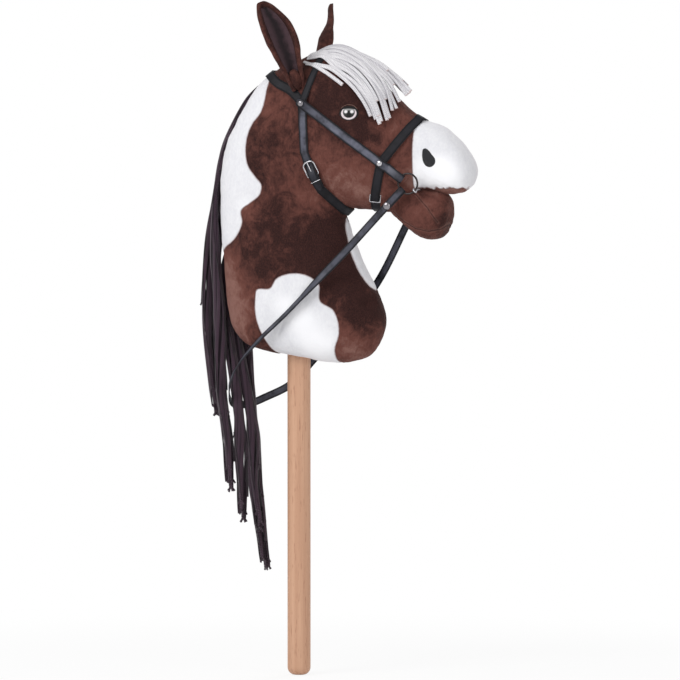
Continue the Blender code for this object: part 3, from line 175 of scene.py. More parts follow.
# A new object for a mesh, a lamp or the camera, put in the scene
def placed(name, data):
    piece = bpy.data.objects.new(name, data)
    bpy.context.scene.collection.objects.link(piece)
    return piece


# A finished piece from a grid of points, or from points and faces, with its measures on its points, riding on
# a body; the piece seen in the place of poll_rivet_right is pollRivetRightSeen
def makePiece(part, points, finish, slot, faces=None, fields=None, body="horse", sharp=None, loop=False):
    first, *rest = part.split("_")
    name = first + "".join(word.title() for word in rest) + "Seen"
    mesh = bpy.data.meshes.new(name)
    mesh.from_pydata(points.reshape(-1, 3).tolist(), [], faces or gridFaces(points, along=loop))
    for field, values in (fields or {}).items():
        kind, key = ("FLOAT_VECTOR", "vector") if values.ndim > 1 else ("FLOAT", "value")
        mesh.attributes.new(field, kind, "POINT").data.foreach_set(key, values.ravel().astype(np.float32))
    faceOutward(mesh)
    mesh.shade_smooth()
    if sharp:
        mesh.set_sharp_from_angle(angle=math.radians(sharp))
    mesh.materials.append(finish)
    piece = placed(name, mesh)
    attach(piece, body)
    if part in nodes:
        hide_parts(part)
    return piece


# Each point's place along its strand, its place across it, and its distance from the strand's end
def clothOf(grids, across):
    along = lengths(grids.mean(-2))[..., None]
    return np.stack(np.broadcast_arrays(along, across, along[..., -1:, :] - along), -1).reshape(-1, 3)


# Several grids of points in one piece, measured along and across
def makeStrands(name, grids, finish, slot, across, glossAndPaintedSheen=0.0, **more):
    fields = {"cloth": clothOf(grids, across), "glossAndPaintedSheen": np.broadcast_to(glossAndPaintedSheen, grids.shape[:3]).ravel()}
    return makePiece(name, grids, finish, slot, fields=fields, **more)


# One value at a node's output, so that sums on it add Math nodes
class Term:
    def __init__(self, board, socket):
        self.board, self.socket = board, socket

    def sum(self, operation, *others):
        return self.board.add("ShaderNodeMath", {"operation": operation}, [self, *others])

    def __add__(self, other):
        return self.sum("ADD", other)

    def __sub__(self, other):
        return self.sum("SUBTRACT", other)

    def __rsub__(self, other):
        return self.board.add("ShaderNodeMath", {"operation": "SUBTRACT"}, [other, self])

    def __mul__(self, other):
        return self.sum("MULTIPLY", other)

    def __truediv__(self, other):
        return self.sum("DIVIDE", other)

    def __pow__(self, other):
        return self.sum("POWER", other)

    def __abs__(self):
        return self.sum("ABSOLUTE")

    __radd__ = __add__
    __rmul__ = __mul__

    # 0 below low, 1 above high, and smooth between them
    def between(self, low, high):
        return self.board.add(
            "ShaderNodeMapRange", {"interpolation_type": "SMOOTHSTEP"},
            {"Value": self, "From Min": low, "From Max": high},
        )


# A tree of nodes, and one way of adding any node to it
class Board:
    def __init__(self, tree):
        self.tree = tree

    def add(self, kind, settings=None, inputs=(), output=0):
        node = self.tree.nodes.new(kind)
        for key, value in (settings or {}).items():
            setattr(node, key, value)
        for key, value in inputs.items() if isinstance(inputs, dict) else enumerate(inputs):
            if isinstance(value, Term):
                self.tree.links.new(value.socket, node.inputs[key])
            else:
                node.inputs[key].default_value = value
        return Term(self, node.outputs[output])

    # A light emitter of one colour and strength
    def glow(self, kind, strength):
        return self.add("ShaderNode" + kind, inputs={"Color": (1, 1, 1, 1), "Strength": strength})

    # 1 where any of these kinds of ray looks, joined by an operation
    def rays(self, kinds, operation):
        first, *rest = (self.add("ShaderNodeLightPath", output=f"Is {kind} Ray") for kind in kinds)
        for other in rest:
            first = first.sum(operation, other)
        return first

    # What the tree's output shows
    def show(self, share, first, second):
        both = self.add("ShaderNodeMixShader", inputs=[share, first, second])
        outlet = next(node for node in self.tree.nodes if node.bl_idname.startswith("ShaderNodeOutput"))
        self.tree.links.new(both.socket, outlet.inputs["Surface"])


# A material's nodes round its principled shader
class Finish(Board):
    def __init__(self, name, **fixed):
        self.material = bpy.data.materials.new(name)
        self.material.use_nodes = True
        super().__init__(self.material.node_tree)
        self.shader = self.tree.nodes["Principled BSDF"]
        for socket, value in fixed.items():
            self.shader.inputs[socket.replace("_", " ")].default_value = value

    def place(self):
        return self.add("ShaderNodeTexCoord", output="Object")

    def measure(self, name, part=None):
        output = "Fac" if part is None else "Vector"
        read = self.add("ShaderNodeAttribute", {"attribute_name": name}, output=output)
        return read if part is None else self.add("ShaderNodeSeparateXYZ", inputs=[read], output=part)

    # Noise in a place stretched along its axes
    def noise(self, vector, scale, detail, rough, bend=0.0, stretch=None):
        if stretch:
            vector = self.add("ShaderNodeMapping", inputs={"Vector": vector, "Scale": stretch})
        inputs = {"Vector": vector, "Scale": scale, "Detail": detail, "Roughness": rough, "Distortion": bend}
        return self.add("ShaderNodeTexNoise", inputs=inputs)

    # Ridges between 0 and 1, this far apart
    def ridges(self, term, apart=1.0):
        return (term * (2 * math.pi / apart)).sum("SINE") * 0.5 + 0.5

    def mix(self, share, first, second):
        inputs = {0: share, 6: first, 7: second}
        return self.add("ShaderNodeMix", {"data_type": "RGBA", "clamp_factor": True}, inputs, output=2)

    # Colours laid one over another, each by its share
    def layered(self, colour, *layers):
        for share, over in layers:
            colour = self.mix(share, colour, over)
        return colour

    def bump(self, height, distance):
        return self.add("ShaderNodeBump", inputs={"Height": height, "Distance": distance})

    def wear(self, **links):
        for socket, term in links.items():
            self.tree.links.new(term.socket, self.shader.inputs[socket.replace("_", " ")])
        return self.material


plushLook = {
    "dark": tint(38, 17, 16),
    "light": tint(102, 61, 53),
    "pale": tint(141, 104, 95),
    "whiteShade": tint(217, 217, 222),
    "white": tint(228, 228, 231),
    # painted light: a brighter white laid on the white cloth where the tone is high
    "whitePaintedLight": tint(243, 243, 246),
    "seamShade": tint(160, 140, 140),
    "pressed": tint(60, 40, 38),
    "nap": 0.9 * mm,
}


# Short plush: dark and light where the nap lies one way or the other, with painted shade in the dimple and a
# painted highlight beside each seam; white inside the sewn patches, with painted light on the white where the
# tone is high
def plushFinish():
    finish = Finish(
        "plushNap", Roughness=0.85, Sheen_Weight=0.12, Sheen_Roughness=0.4, Sheen_Tint=tint(205, 165, 155),
        Specular_IOR_Level=0.2,
    )
    place = finish.place()
    brushed = finish.noise(place, 34, 4, 0.62, 1.4)
    clumps = finish.noise(place, 115, 4, 0.65, 0.9, (1, 1, 0.7))
    tufts = finish.noise(place, 380, 3, 0.6, 0.4, (1, 1, 0.55))
    hairs = finish.noise(place, 1500, 2, 0.7, stretch=(1, 1, 0.35))
    lay = finish.measure("tone") + (brushed - 0.5) * 1.2 + (clumps - 0.5) * 0.7 + (tufts - 0.5) * 0.35
    brown = finish.layered(
        plushLook["dark"], (lay.between(0.0, 0.75), plushLook["light"]),
        (lay.between(0.62, 1.25) * 0.8, plushLook["pale"]), ((hairs - 0.42) * 1.1, plushLook["light"]),
    )
    fromPatch = finish.measure("white") * 1000
    inside = fromPatch + (tufts - 0.5) * 1.1 + (hairs - 0.5) * 0.8
    white = finish.layered(
        plushLook["whiteShade"], ((clumps * 0.5 + tufts * 0.5).between(0.3, 0.7), plushLook["white"]),
        # painted light: the white cloth turns brighter where the tone spots lift the tone, on the shoulder
        # patch and the muzzle
        (finish.measure("tone").between(0.35, 1.0), plushLook["whitePaintedLight"]),
        (1 - inside.between(0.0, 2.2), plushLook["seamShade"]),
    )
    fromSeam = finish.measure("seam") * 1000 + (tufts - 0.5) * 0.6
    colour = finish.layered(
        brown, (inside.between(-0.18, 0.18), white),
        ((1 - abs(fromPatch).between(0.0, 1.3)) * 0.35, plushLook["pressed"]),
        # painted highlight: a paler band on the puffed cloth either side of each seam, with a dark line along
        # the seam itself
        ((1 - fromSeam.between(0.5, 3.0)) * 0.22, plushLook["pale"]),
        ((1 - fromSeam.between(0.1, 1.3)) * 0.75, plushLook["dark"]),
    )
    nap = (clumps * 0.9 + tufts * 0.8 + hairs * 0.5) * (1 - inside.between(0.0, 3.0) * 0.7)
    return finish.wear(Base_Color=colour, Normal=finish.bump(nap, plushLook["nap"]))


# The dark cloth inside the ears, smoother than the plush, with painted shade along the fold down its middle
def liningFinish():
    finish = Finish("earLining", Roughness=0.8, Sheen_Weight=0.2, Sheen_Roughness=0.5, Specular_IOR_Level=0.2)
    place = finish.place()
    folds = finish.noise(place, 60, 3, 0.6, 0.8)
    hairs = finish.noise(place, 900, 3, 0.7, stretch=(1, 1, 0.4))
    # painted shade: darker along the wavy fold down the middle of the cupped lining
    foldShade = 1 - abs(finish.measure("cloth", "Y") + (folds - 0.5) * 0.9).between(0.05, 0.75)
    colour = finish.layered(
        tint(22, 15, 21), (folds * 0.8 + hairs * 0.5, tint(82, 60, 66)), (foldShade * 0.8, tint(8, 5, 8))
    )
    return finish.wear(Base_Color=colour, Normal=finish.bump(hairs * 0.6 + folds, 0.5 * mm))


# Black faux leather: fine pebble grain, a pressed line inside each edge, painted sheen on its paler rim, and
# a painted grey-blue sheen down its middle
def strapFinish():
    finish = Finish("strapLeather", Specular_IOR_Level=0.22, Coat_Roughness=0.35)
    across = abs(finish.measure("cloth", "Y"))
    place = finish.place()
    pebbles = finish.add("ShaderNodeTexVoronoi", inputs={"Vector": place, "Scale": 1500})
    creases = finish.noise(place, 260, 4, 0.7, 0.5)
    smudges = finish.noise(place, 45, 3, 0.6)
    line = 1 - abs(across - 0.80).between(0.01, 0.07)
    # painted sheen: the rim is paler along the strap's rounded edges
    rim = across.between(0.90, 1.0)
    # painted sheen: a grey-blue highlight down the middle of the glossier straps, also raising their coat
    paintedSheenAndCoat = finish.measure("glossAndPaintedSheen") * (1 - across.between(0.35, 0.95)) * smudges.between(0.25, 0.65)
    colour = finish.layered(
        tint(7, 6, 9), (smudges * 0.6 + creases * 0.3, tint(24, 22, 27)), (paintedSheenAndCoat, tint(104, 106, 122)),
        (line * 0.6, tint(10, 10, 11)), (rim * 0.3, tint(66, 67, 74)),
    )
    rough = 0.52 - finish.measure("glossAndPaintedSheen") * 0.18 + smudges * 0.12 + creases * 0.08 + line * 0.15
    height = pebbles * 0.35 + creases * 0.3 - line * 1.2
    return finish.wear(
        Base_Color=colour, Roughness=rough, Coat_Weight=paintedSheenAndCoat * 0.5, Normal=finish.bump(height, 0.22 * mm)
    )


# Bright or dark plated metal with a little grime and fine scratches
def metalFinish(name, colour, grime, rough):
    finish = Finish(name, Metallic=1.0)
    place = finish.place()
    cloud = finish.noise(place, 320, 3, 0.6)
    scratches = finish.noise(place, 900, 2, 0.6, stretch=(1, 1, 9))
    shade = finish.mix((cloud * 0.8 + scratches * 0.3).between(0.35, 0.85) * 0.6, colour, grime)
    return finish.wear(
        Base_Color=shade, Roughness=rough + cloud * 0.14 + scratches * 0.06,
        Normal=finish.bump(scratches + cloud, 0.04 * mm),
    )


beechLook = {"pale": tint(207, 164, 135), "warm": tint(188, 142, 114), "fleck": tint(150, 100, 74)}


# Beech: long grain lines that waver up the rod, short dark flecks, and pores
def beechFinish():
    finish = Finish("beechWood", Specular_IOR_Level=0.4)
    place = finish.place()
    sway = finish.noise(place, 1, 3, 0.5, stretch=(14, 14, 2.2))
    bands = finish.noise(place, 1, 4, 0.62, 0.8, (150, 150, 2.6))
    flecks = finish.noise(place, 1, 2, 0.5, stretch=(620, 620, 55))
    pores = finish.noise(place, 1, 1, 0.5, stretch=(1500, 1500, 90))
    colour = finish.layered(
        beechLook["pale"], (bands.between(0.3, 0.7) * 0.75 + sway * 0.25, beechLook["warm"]),
        (flecks.between(0.60, 0.72) * 0.55, beechLook["fleck"]),
        (pores.between(0.62, 0.8) * 0.3, beechLook["fleck"]),
    )
    return finish.wear(
        Base_Color=colour, Roughness=0.42 + bands * 0.12 + flecks * 0.08,
        Normal=finish.bump(bands * 0.5 + pores * 0.4, 0.12 * mm),
    )


# Knitted cord: two rows of slanted stitches that meet along its middle, painted shade in the stitch valleys
# and along the edges, and a tinted cut end
def cordFinish(name, deep, face, cutEnd, gauge, endLength, shade):
    finish = Finish(name, Roughness=0.85, Sheen_Weight=0.25, Sheen_Roughness=0.5, Specular_IOR_Level=0.2)
    along, across, end = (finish.measure("cloth", part) for part in "XYZ")
    stitch = finish.ridges(along / gauge + abs(across) * 0.9)
    fuzz = finish.noise(finish.place(), 900, 3, 0.7)
    bands = finish.noise(finish.place(), 30, 2, 0.5)
    depth = stitch * (1 - abs(across).between(0.75, 1.0) * 0.6) * 0.6 + fuzz * 0.35 + (bands - 0.5) * 0.5
    # painted shade and highlight: the deep colour fills the stitch valleys and the cord's edges, the face
    # colour the lit stitch ridges
    colour = finish.layered(
        deep, (depth.between(0.1, 0.85), face), (abs(across).between(0.62, 1.0) * shade, deep),
        ((1 - (end + (fuzz - 0.5) * mm).between(0.2 * mm, endLength)) * 0.6, cutEnd),
    )
    return finish.wear(Base_Color=colour, Normal=finish.bump(stitch * 0.8 + fuzz * 0.7, 0.4 * mm))


# Embroidery thread in one direction, coloured by rings of the eye's pattern
def eyeFinish():
    finish = Finish("eyeThread", Roughness=0.5, Specular_IOR_Level=0.3, Sheen_Weight=0.08)
    x, z = (finish.measure("cloth", part) * 1000 for part in "XY")
    fray = finish.noise(finish.add("ShaderNodeCombineXYZ", inputs=[x * 0.25, z * 2.2]), 1.6, 2, 0.6)
    wobble = (fray - 0.5) * 0.9

    # Share of the way from an oval's centre to its edge, 1 on the edge
    def within(centreX, centreZ, halfWidth, halfHeight, soft=0.06):
        far = (((x - centreX) / halfWidth) ** 2 + ((z - centreZ) / halfHeight) ** 2) ** 0.5
        return 1 - (far + wobble * 0.12).between(1 - soft, 1 + soft)

    black, shine = tint(9, 9, 10), tint(238, 236, 238)
    iris = finish.layered(
        tint(22, 24, 24), (z.between(-5.0, 3.0), tint(80, 84, 82)), (z.between(2.2, 5.0), tint(158, 158, 158))
    )
    colour = finish.layered(
        black, (within(0.2, -0.4, 9.9, 7.9), tint(234, 222, 226)), (within(0.4, 1.2, 7.7, 7.3), iris),
        ((z + x * x * 0.015 + wobble * 0.5).between(5.4, 6.1), black), (within(0.5, -0.8, 2.9, 4.2), black),
        *((within(sideways, 1.9, 2.2, 2.0, 0.35), shine) for sideways in (-3.5, 4.3)),
    )
    threads = finish.ridges(z + wobble * 0.3, 0.55)
    return finish.wear(Base_Color=colour, Normal=finish.bump(threads + fray * 0.5, 0.18 * mm))


# Black satin stitch, laid aslant, with painted grey-blue sheen on the thread ridges
def nostrilFinish():
    finish = Finish("nostrilThread", Specular_IOR_Level=0.4, Sheen_Weight=0.15)
    x, z = (finish.measure("cloth", part) * 1000 for part in "XY")
    fray = finish.noise(finish.add("ShaderNodeCombineXYZ", inputs=[x * 0.4, z * 2.0]), 1.4, 2, 0.6)
    threads = finish.ridges(z * 0.94 + x * 0.34 + fray * 0.3, 0.6)
    # painted sheen: the thread ridges lighter and bluish
    colour = finish.mix(threads * 0.5 + fray * 0.4, tint(8, 9, 12), tint(34, 35, 42))
    return finish.wear(
        Base_Color=colour, Roughness=0.4 + fray * 0.25, Normal=finish.bump(threads + fray * 0.5, 0.2 * mm)
    )


plush = plushFinish()
lining = liningFinish()
leather = strapFinish()
brightSteel = metalFinish("brightSteel", tint(206, 205, 209), tint(120, 116, 120), 0.12)
rivetSteel = metalFinish("rivetSteel", tint(150, 147, 151), tint(90, 86, 90), 0.10)
darkNickel = metalFinish("darkNickel", tint(70, 65, 65), tint(40, 35, 34), 0.2)
beech = beechFinish()
maneCord = cordFinish(
    "maneCord", tint(12, 6, 12), tint(80, 59, 74), tint(44, 34, 40), 2.2 * mm, 1.0 * mm, 0.75
)
paleCord = cordFinish(
    "forelockCord", tint(184, 182, 188), tint(246, 244, 246), tint(206, 178, 174), 2.4 * mm, 1.6 * mm, 0.8
)
eyeThread = eyeFinish()
nostrilThread = nostrilFinish()
lidThread = cordFinish(
    "lidThread", tint(92, 62, 52), tint(140, 98, 84), tint(80, 56, 50), 0.5 * mm, 0.3 * mm, 0.0
)
print("materials made")


cameraLook = {
    "azimuth": 18, "elevation": 2, "distance": 8.0, "target": (0.0507, 0.0165, 0.436), "seenWidth": 0.884,
}


# The camera stands back from its target at an azimuth and an elevation; its lens just sees the given width
def makeCamera():
    lens = bpy.data.cameras.new("camera")
    lens.sensor_width = 36
    lens.lens = 36 * cameraLook["distance"] / cameraLook["seenWidth"]
    turn, lift = math.radians(cameraLook["azimuth"]), math.radians(cameraLook["elevation"])
    back = Vector((math.sin(turn) * math.cos(lift), -math.cos(turn) * math.cos(lift), math.sin(lift)))
    camera = placed("camera", lens)
    camera.location = Vector(cameraLook["target"]) + back * cameraLook["distance"]
    camera.rotation_euler = (-back).to_track_quat("-Z", "Y").to_euler()
    bpy.context.scene.camera = camera


makeCamera()


straps = {
    "width": 12 * mm, "browWidth": 9 * mm, "reinWidth": 10 * mm, "thickness": 1.3 * mm,
    "gap": 0.3 * mm, "skinGap": 0.5 * mm, "step": 4 * mm,
    # how much gloss and painted grey sheen shows at shares of a strap's length: on one like this, and on all
    # the others
    "glossAndPaintedSheen": {
        "cheekpiece": ((0, 0.14, 0.3, 0.65, 0.85, 1), (0.2, 0.5, 0.9, 0.85, 0.45, 0.35)),
        "throat_billet": ((0, 0.1, 0.45, 0.62, 1), (0.1, 0.7, 0.8, 0.2, 0.1)),
        "rein": ((0, 1), (0.45, 0.45)), "": ((0, 1), (0.06, 0.06)),
    },
}
bit = {
    "ringRadius": 13 * mm, "ringWire": 2.5 * mm, "centre": (0.1606, 0.0400, 0.2220), "play": 0.3 * mm,
    "bar": 5.2 * mm, "barAngle": -45, "eyeWire": 2.2 * mm, "eyePlay": 0.5 * mm,
}
rein = {
    "away": {"right": (-0.69, -0.72), "left": (-0.45, -0.89)},
    "endReach": 49.6 * mm,
    "studReach": 39.6 * mm,
    "lead": 12 * mm,
    "route": (
        (80, -50, 135), (50, -54, 104), (-4, -56, 49), (-36, -54, 20), (-72, -42, -18), (-90, -18, -49),
        (-93, 0, -64), (-90, 14, -68), (-78, 30, -67), (-58, 42, -58), (-31, 50, -44), (3, 52, -9),
        (91, 52, 93),
    ),
    "backwards": 0.040,  # behind this the strap starts to face backwards
    "roll": ((-0.088, -0.070, 0.020, 0.064), (0, 58, 58, 0)),  # right side: places along x, degrees upwards
}
# The section of a strap, from -1 to 1 across and from its under side to its slightly crowned face
strapSection = np.array(
    [(-1, -0.5), (-1, 0.5), (-0.94, 1), (-0.5, 1.08), (0, 1.12), (0.5, 1.08), (0.94, 1), (1, 0.5), (1, -0.5),
     (0.94, -1), (0, -1), (-0.94, -1)]
)


# The strap narrowed to half a circle at its ends
def roundedEnds(rows, width, start, end):
    along = lengths(middleOf(rows))
    total, rim = along[-1], width / 2
    extra = rim * np.array((0.0, 0.04, 0.14, 0.3, 0.5, 0.75, 1.0))
    keep = along[((along > rim * 1.2) | (not start)) & ((along < total - rim * 1.2) | (not end))]
    at = np.unique(np.r_[extra if start else [], keep, (total - extra) if end else []])
    rows = readAt(at, along, rows)
    share = np.ones(len(rows))
    for wanted, distance in ((start, at), (end, total - at)):
        if wanted:
            share = np.minimum(share, np.sqrt(1 - np.clip((rim - distance) / rim, 0, 0.985) ** 2))
    centre, half = middleOf(rows), (rows[:, 3:] - rows[:, :3]) / 2 * share[:, None]
    return np.hstack([centre - half, centre + half])


# A strap from its two edge lines: the section stretched between them, with its own thickness outwards
def makeStrap(name, rows, width=None, start=False, end=False):
    if start or end:
        rows = roundedEnds(rows, width, start, end)
    centre, half = middleOf(rows), (rows[:, 3:] - rows[:, :3]) / 2
    up = unit(np.cross(half, np.gradient(centre, axis=0))) * straps["thickness"] / 2
    grid = centre[:, None] + half[:, None] * strapSection[:, :1] + up[:, None] * strapSection[:, 1:]
    along = lengths(centre)
    glossAndPaintedSheen = next(stations for start, stations in straps["glossAndPaintedSheen"].items() if name.startswith(start))
    glossAndPaintedSheen = np.interp(along / along[-1], *glossAndPaintedSheen)[:, None]
    return makeStrands(name, grid[None], leather, "black_strap", strapSection[:, 0], glossAndPaintedSheen, sharp=50)


# How far the middle of a fold's outer layer lies to the side of the ring's own middle
foldBend = bit["ringWire"] / 2 + bit["play"] + straps["thickness"] / 2


# The first free place of the rein on one side, just past its folded end, and a place further on its way
def reinStart(side):
    x, y, z = bit["centre"]
    away = np.array(rein["away"][side]) / math.hypot(*rein["away"][side])
    reach = rein["endReach"] + straps["gap"]
    first = np.array((x + away[0] * reach, sideSigns[side] * (y + foldBend), z + away[1] * reach + neckBase))
    return first, first + rein["lead"] * np.array((away[0], 0, away[1]))


# The free rein: one flat strap that hangs from the right end, round behind the mane and back to the left end
def makeRein():
    (first, second), (last, before) = reinStart("right"), reinStart("left")
    path = np.vstack([first, second, places(rein["route"]), before, last])
    path = even(curve(path, 12), straps["step"])
    outward = unit(np.stack([np.minimum(path[:, 0] + rein["backwards"], 0), path[:, 1], 0 * path[:, 2]], -1))
    outward[:, 2] = np.tan(np.radians(np.interp(path[:, 0], *rein["roll"]) * (path[:, 1] < 0)))
    across = unit(np.cross(outward, np.gradient(path, axis=0))) * straps["reinWidth"] / 2
    piece = makeStrap("rein", np.hstack([path + across, path - across]))
    return piece


reinPiece = makeRein()


pole = {"diameter": 30 * mm, "top": 0.680, "land": 5 * mm}


# A turned rod: radius over height, with a quarter circle at the foot and a small round at the hidden top
def makePole():
    radius, land, top = pole["diameter"] / 2, pole["land"], pole["top"]
    turn = np.linspace(0, math.pi / 2, 14)
    foot = np.column_stack([land + (radius - land) * np.sin(turn), (radius - land) * (1 - np.cos(turn))])
    shank = np.column_stack([np.full(40, radius), np.linspace(radius, top - 2 * mm, 40)])
    profile = np.vstack([foot, shank, [(radius - 1.2 * mm, top)]])
    around = np.linspace(0, 2 * math.pi, 96, endpoint=False)
    radius, height = profile[:, :1], profile[:, 1:]
    grid = np.stack(np.broadcast_arrays(radius * np.cos(around), radius * np.sin(around), height), -1)
    makePiece("pole", grid, beech, "beech", sharp=45)


makePole()


# Values of each vertex or edge of a mesh as an array
def valuesOf(items, field="co", count=3, kind=float):
    values = np.empty(len(items) * count, kind)
    items.foreach_get(field, values)
    return values.reshape(-1, count)


# One search tree over the faces of several meshes
def skinOf(meshes):
    points, faces = [], []
    for mesh in meshes:
        faces += [[len(points) + corner for corner in face.vertices] for face in mesh.polygons]
        points += valuesOf(mesh.vertices).tolist()
    return BVHTree.FromPolygons(points, faces)


formNodes = ["neck", "head", "muzzle", "upper_lip", "lower_jaw"]
panelNodes = ["chest_gusset"] + [
    f"{kind}_{side}" for side in sideSigns for kind in ("crest_panel", "shoulder_patch", "eye", "nostril")
]
formMeshes = [nodes[name].data for name in formNodes + panelNodes]
formSkin = skinOf(formMeshes)


bridle = {
    "headWidth": 92 * mm,
    "pollRivet": (0.019, 0.325), "noseRivet": (0.124, 0.248), "noseRidge": (0.1675, 0.305),
    "browTop": (0.040, 0.393), "jawUnder": (0.110, 0.188),
    "buckleBar": (0.034, 0.233), "buckleAim": (0.021, 0.262),
    # stations (angle, x, z) from the poll rivet over the poll, and under the throat, as far as the middle
    "crown": ((0, 0.0235, 0.3210), (12, 0.002, 0.334), (25, -0.019, 0.339), (50, -0.030, 0.341),
              (90, -0.035, 0.341)),
    "under": ((205, 0.046, 0.209), (235, 0.051, 0.203), (270, 0.056, 0.199)),
    # side-view places of the billet and of the throatlatch on their way down from the poll rivets
    "billet": ((0.0195, 0.300), (0.0205, 0.277)),
    "throat": ((0.0205, 0.290), (0.028, 0.250), (0.042, 0.215)),
}
slide = {"wire": 1.4 * mm, "length": 9.5 * mm, "corner": 1.3 * mm, "at": 48 * mm}
buckle = {
    "wire": 2.0 * mm, "length": 19 * mm, "sidePlay": 0.6 * mm, "barCorner": 1.6 * mm, "tipCorner": 5.2 * mm,
    "prong": 1.6 * mm, "prongPlay": 0.3 * mm, "prongTip": 1.5 * mm,
    "keeper": 1.0 * mm, "keeperCorner": 0.9 * mm, "keeperAt": -8 * mm, "keeperShare": 0.70,
    # the throatlatch round the bar: distances on its way in, and the length of its tail
    "chape": (14 * mm, 10 * mm, 5 * mm, 0), "chapeTail": 12 * mm,
    # the billet through it: millimetres up the strap, and share of the rise from its flat run to its top
    "billet": (
        (17.0, 0), (14.0, 0), (11.5, 0.19), (9.0, 0.42), (6.5, 0.66), (4.0, 0.88), (1.5, 1), (-1.5, 1),
        (-3.5, 0.93), (-6.0, 0.80), (-8.5, 0.68), (-12.0, 0.57), (-15.0, 0.46), (-18.0, 0.36), (-21.0, 0.32),
    ),
}


# Unit direction in side view from one place to another
def toward(start, end):
    gap = np.subtract(end, start)
    return gap / np.linalg.norm(gap)


# The side-view place this far beyond the end of a line
def past(start, end, extra):
    return tuple(np.array(end) + toward(start, end) * extra)


# Stations on one side of the head through side-view places
def sideRays(points, side):
    return [(0 if side == "right" else 180, *point) for point in points]


# Stations of a strap in one plane through a side-view place, from one angle round to another
def sweep(first, last, centre):
    return [(angle, *centre) for angle in np.linspace(first, last, 9)]


# Centres and outward directions from stations (angle, x, z): 0 is the right side, 90 the top, 180 the left
def raysFrom(stations, up):
    degree = math.pi * bridle["headWidth"] / 360
    rows = even(curve(np.array(stations, float) * (degree, 1, 1), 12), 2.5 * mm)
    turn = (rows[:, 0] / degree * math.pi / 180)[:, None]
    up = np.array((up[0], 0, up[1])) / math.hypot(*up)
    focus = np.column_stack([rows[:, 1], np.zeros(len(rows)), rows[:, 2] + neckBase])
    return focus, np.cos(turn) * np.array((0.0, -1.0, 0.0)) + np.sin(turn) * up


# How far out along each ray the skin lies, or -1 where the ray misses it
def heightsOn(skin, focus, outward, reach):
    hits = [skin.ray_cast(Vector(f + o * reach), Vector(-o), reach)[3] for f, o in zip(focus, outward)]
    return np.array([-1.0 if hit is None else reach - hit for hit in hits])


# A line pulled tight over the skin: each point rises to the chord between its neighbours
def pullTight(focus, outward, surface):
    height = np.maximum(surface, 0.0)
    for _ in range(900):
        place = focus + outward * height[:, None]
        chord = ((place[:-2] + place[2:]) / 2 - focus[1:-1]) * outward[1:-1]
        height[1:-1] = np.maximum(surface[1:-1], chord.sum(1))
    return height


# Heights of points over a skin and its outward direction there; where none is near, the given height and none
def overSkin(skin, points, reach, height):
    above, away = np.full(len(points), height), np.zeros((len(points), 3))
    for number, point in enumerate(points):
        place, normal, _, distance = skin.find_nearest(Vector(point), reach)
        if place is not None:
            above[number], away[number] = math.copysign(distance, (Vector(point) - place).dot(normal)), normal
    return above, away


# A ribbon moved off whatever lies under it, tested at a grid of places on each of its quads
def clearRows(skin, rows, gap):
    count, room = len(rows), gap + straps["thickness"] / 2
    outward = unit(np.cross(rows[:, 3:] - rows[:, :3], np.gradient(rows[:, :3] + rows[:, 3:], axis=0)))
    points, outward = np.vstack([rows[:, :3], rows[:, 3:]]), np.vstack([outward, outward])
    u, v = (part.ravel()[:, None] for part in np.meshgrid(np.linspace(0, 1, 4), np.linspace(0, 1, 3)))
    share = np.hstack([(1 - u) * (1 - v), u * (1 - v), u * v, (1 - u) * v])
    faces = np.array([[i, i + 1, count + i + 1, count + i] for i in range(count - 1)])
    for _ in range(10):
        above, _ = overSkin(skin, (share[None] @ points[faces]).reshape(-1, 3), 4 * room, room)
        short = np.maximum(room - above, 0).reshape(len(faces), -1).max(1)
        if short.max() < 0.03 * mm:
            break
        need = np.zeros(len(points))
        np.maximum.at(need, faces, short[:, None])
        points = points + outward * need[:, None]
    return np.hstack([points[:count], points[count:]])


# A strap laid tight on whatever is under it, its last end held at a distance out if one is given
def hug(skin, stations, up, width, bump=None, reach=0.09, held=None):
    focus, outward = raysFrom(stations, up)
    surface = heightsOn(skin, focus, outward, reach)
    raised = straps["skinGap"] + straps["thickness"] / 2
    if held:
        surface[-1] = held - raised
    centre = pullTight(focus, outward, surface)
    line = focus + outward * centre[:, None]
    across = unit(np.cross(outward, np.gradient(line, axis=0)))
    edges = []
    for sign in (1, -1):
        shifted = focus + sign * across * width / 2
        surface = heightsOn(skin, shifted, outward, reach)
        surface = np.where(surface < centre - width / 2, centre - width / 6, surface)
        if held:
            surface[-1] = held - raised
        edges.append(pullTight(shifted, outward, surface))
    if bump:
        raised = raised + bump(lengths(line))
    sides = [
        focus + sign * across * width / 2 + outward * (height + raised)[:, None]
        for sign, height in zip((1, -1), edges)
    ]
    return clearRows(skin, even(np.hstack(sides), straps["step"]), straps["skinGap"])


# Edges of a strap whose middle line is given and whose width lies along one direction
def flatRows(points, across, width):
    half = np.asarray(across, float) * width / 2
    return np.hstack([np.asarray(points) + half, np.asarray(points) - half])


# Distance from a ring's centre to the middle of a fold of this width round its wire
def foldDepth(width):
    inner = bit["ringRadius"] - bit["ringWire"] / 2
    return math.sqrt(inner**2 - (width / 2) ** 2) + bit["ringWire"] / 2


# A strap folded round a wire, as (distance in front of the wire's middle, height over its first layer): in on
# one layer, half a turn round the wire, and a tail that comes to lie on the first layer
def foldSection(lead, bend, tail):
    closed = straps["thickness"] + straps["gap"]
    section = [(d, 0) for d in lead]
    section += [(-bend * math.sin(a), bend - bend * math.cos(a)) for a in np.radians(range(15, 180, 15))]
    section += [
        (tail * t, 2 * bend + (closed - 2 * bend) * t * t * (3 - 2 * t)) for t in np.linspace(0, 1, 7)
    ]
    return np.array(section)


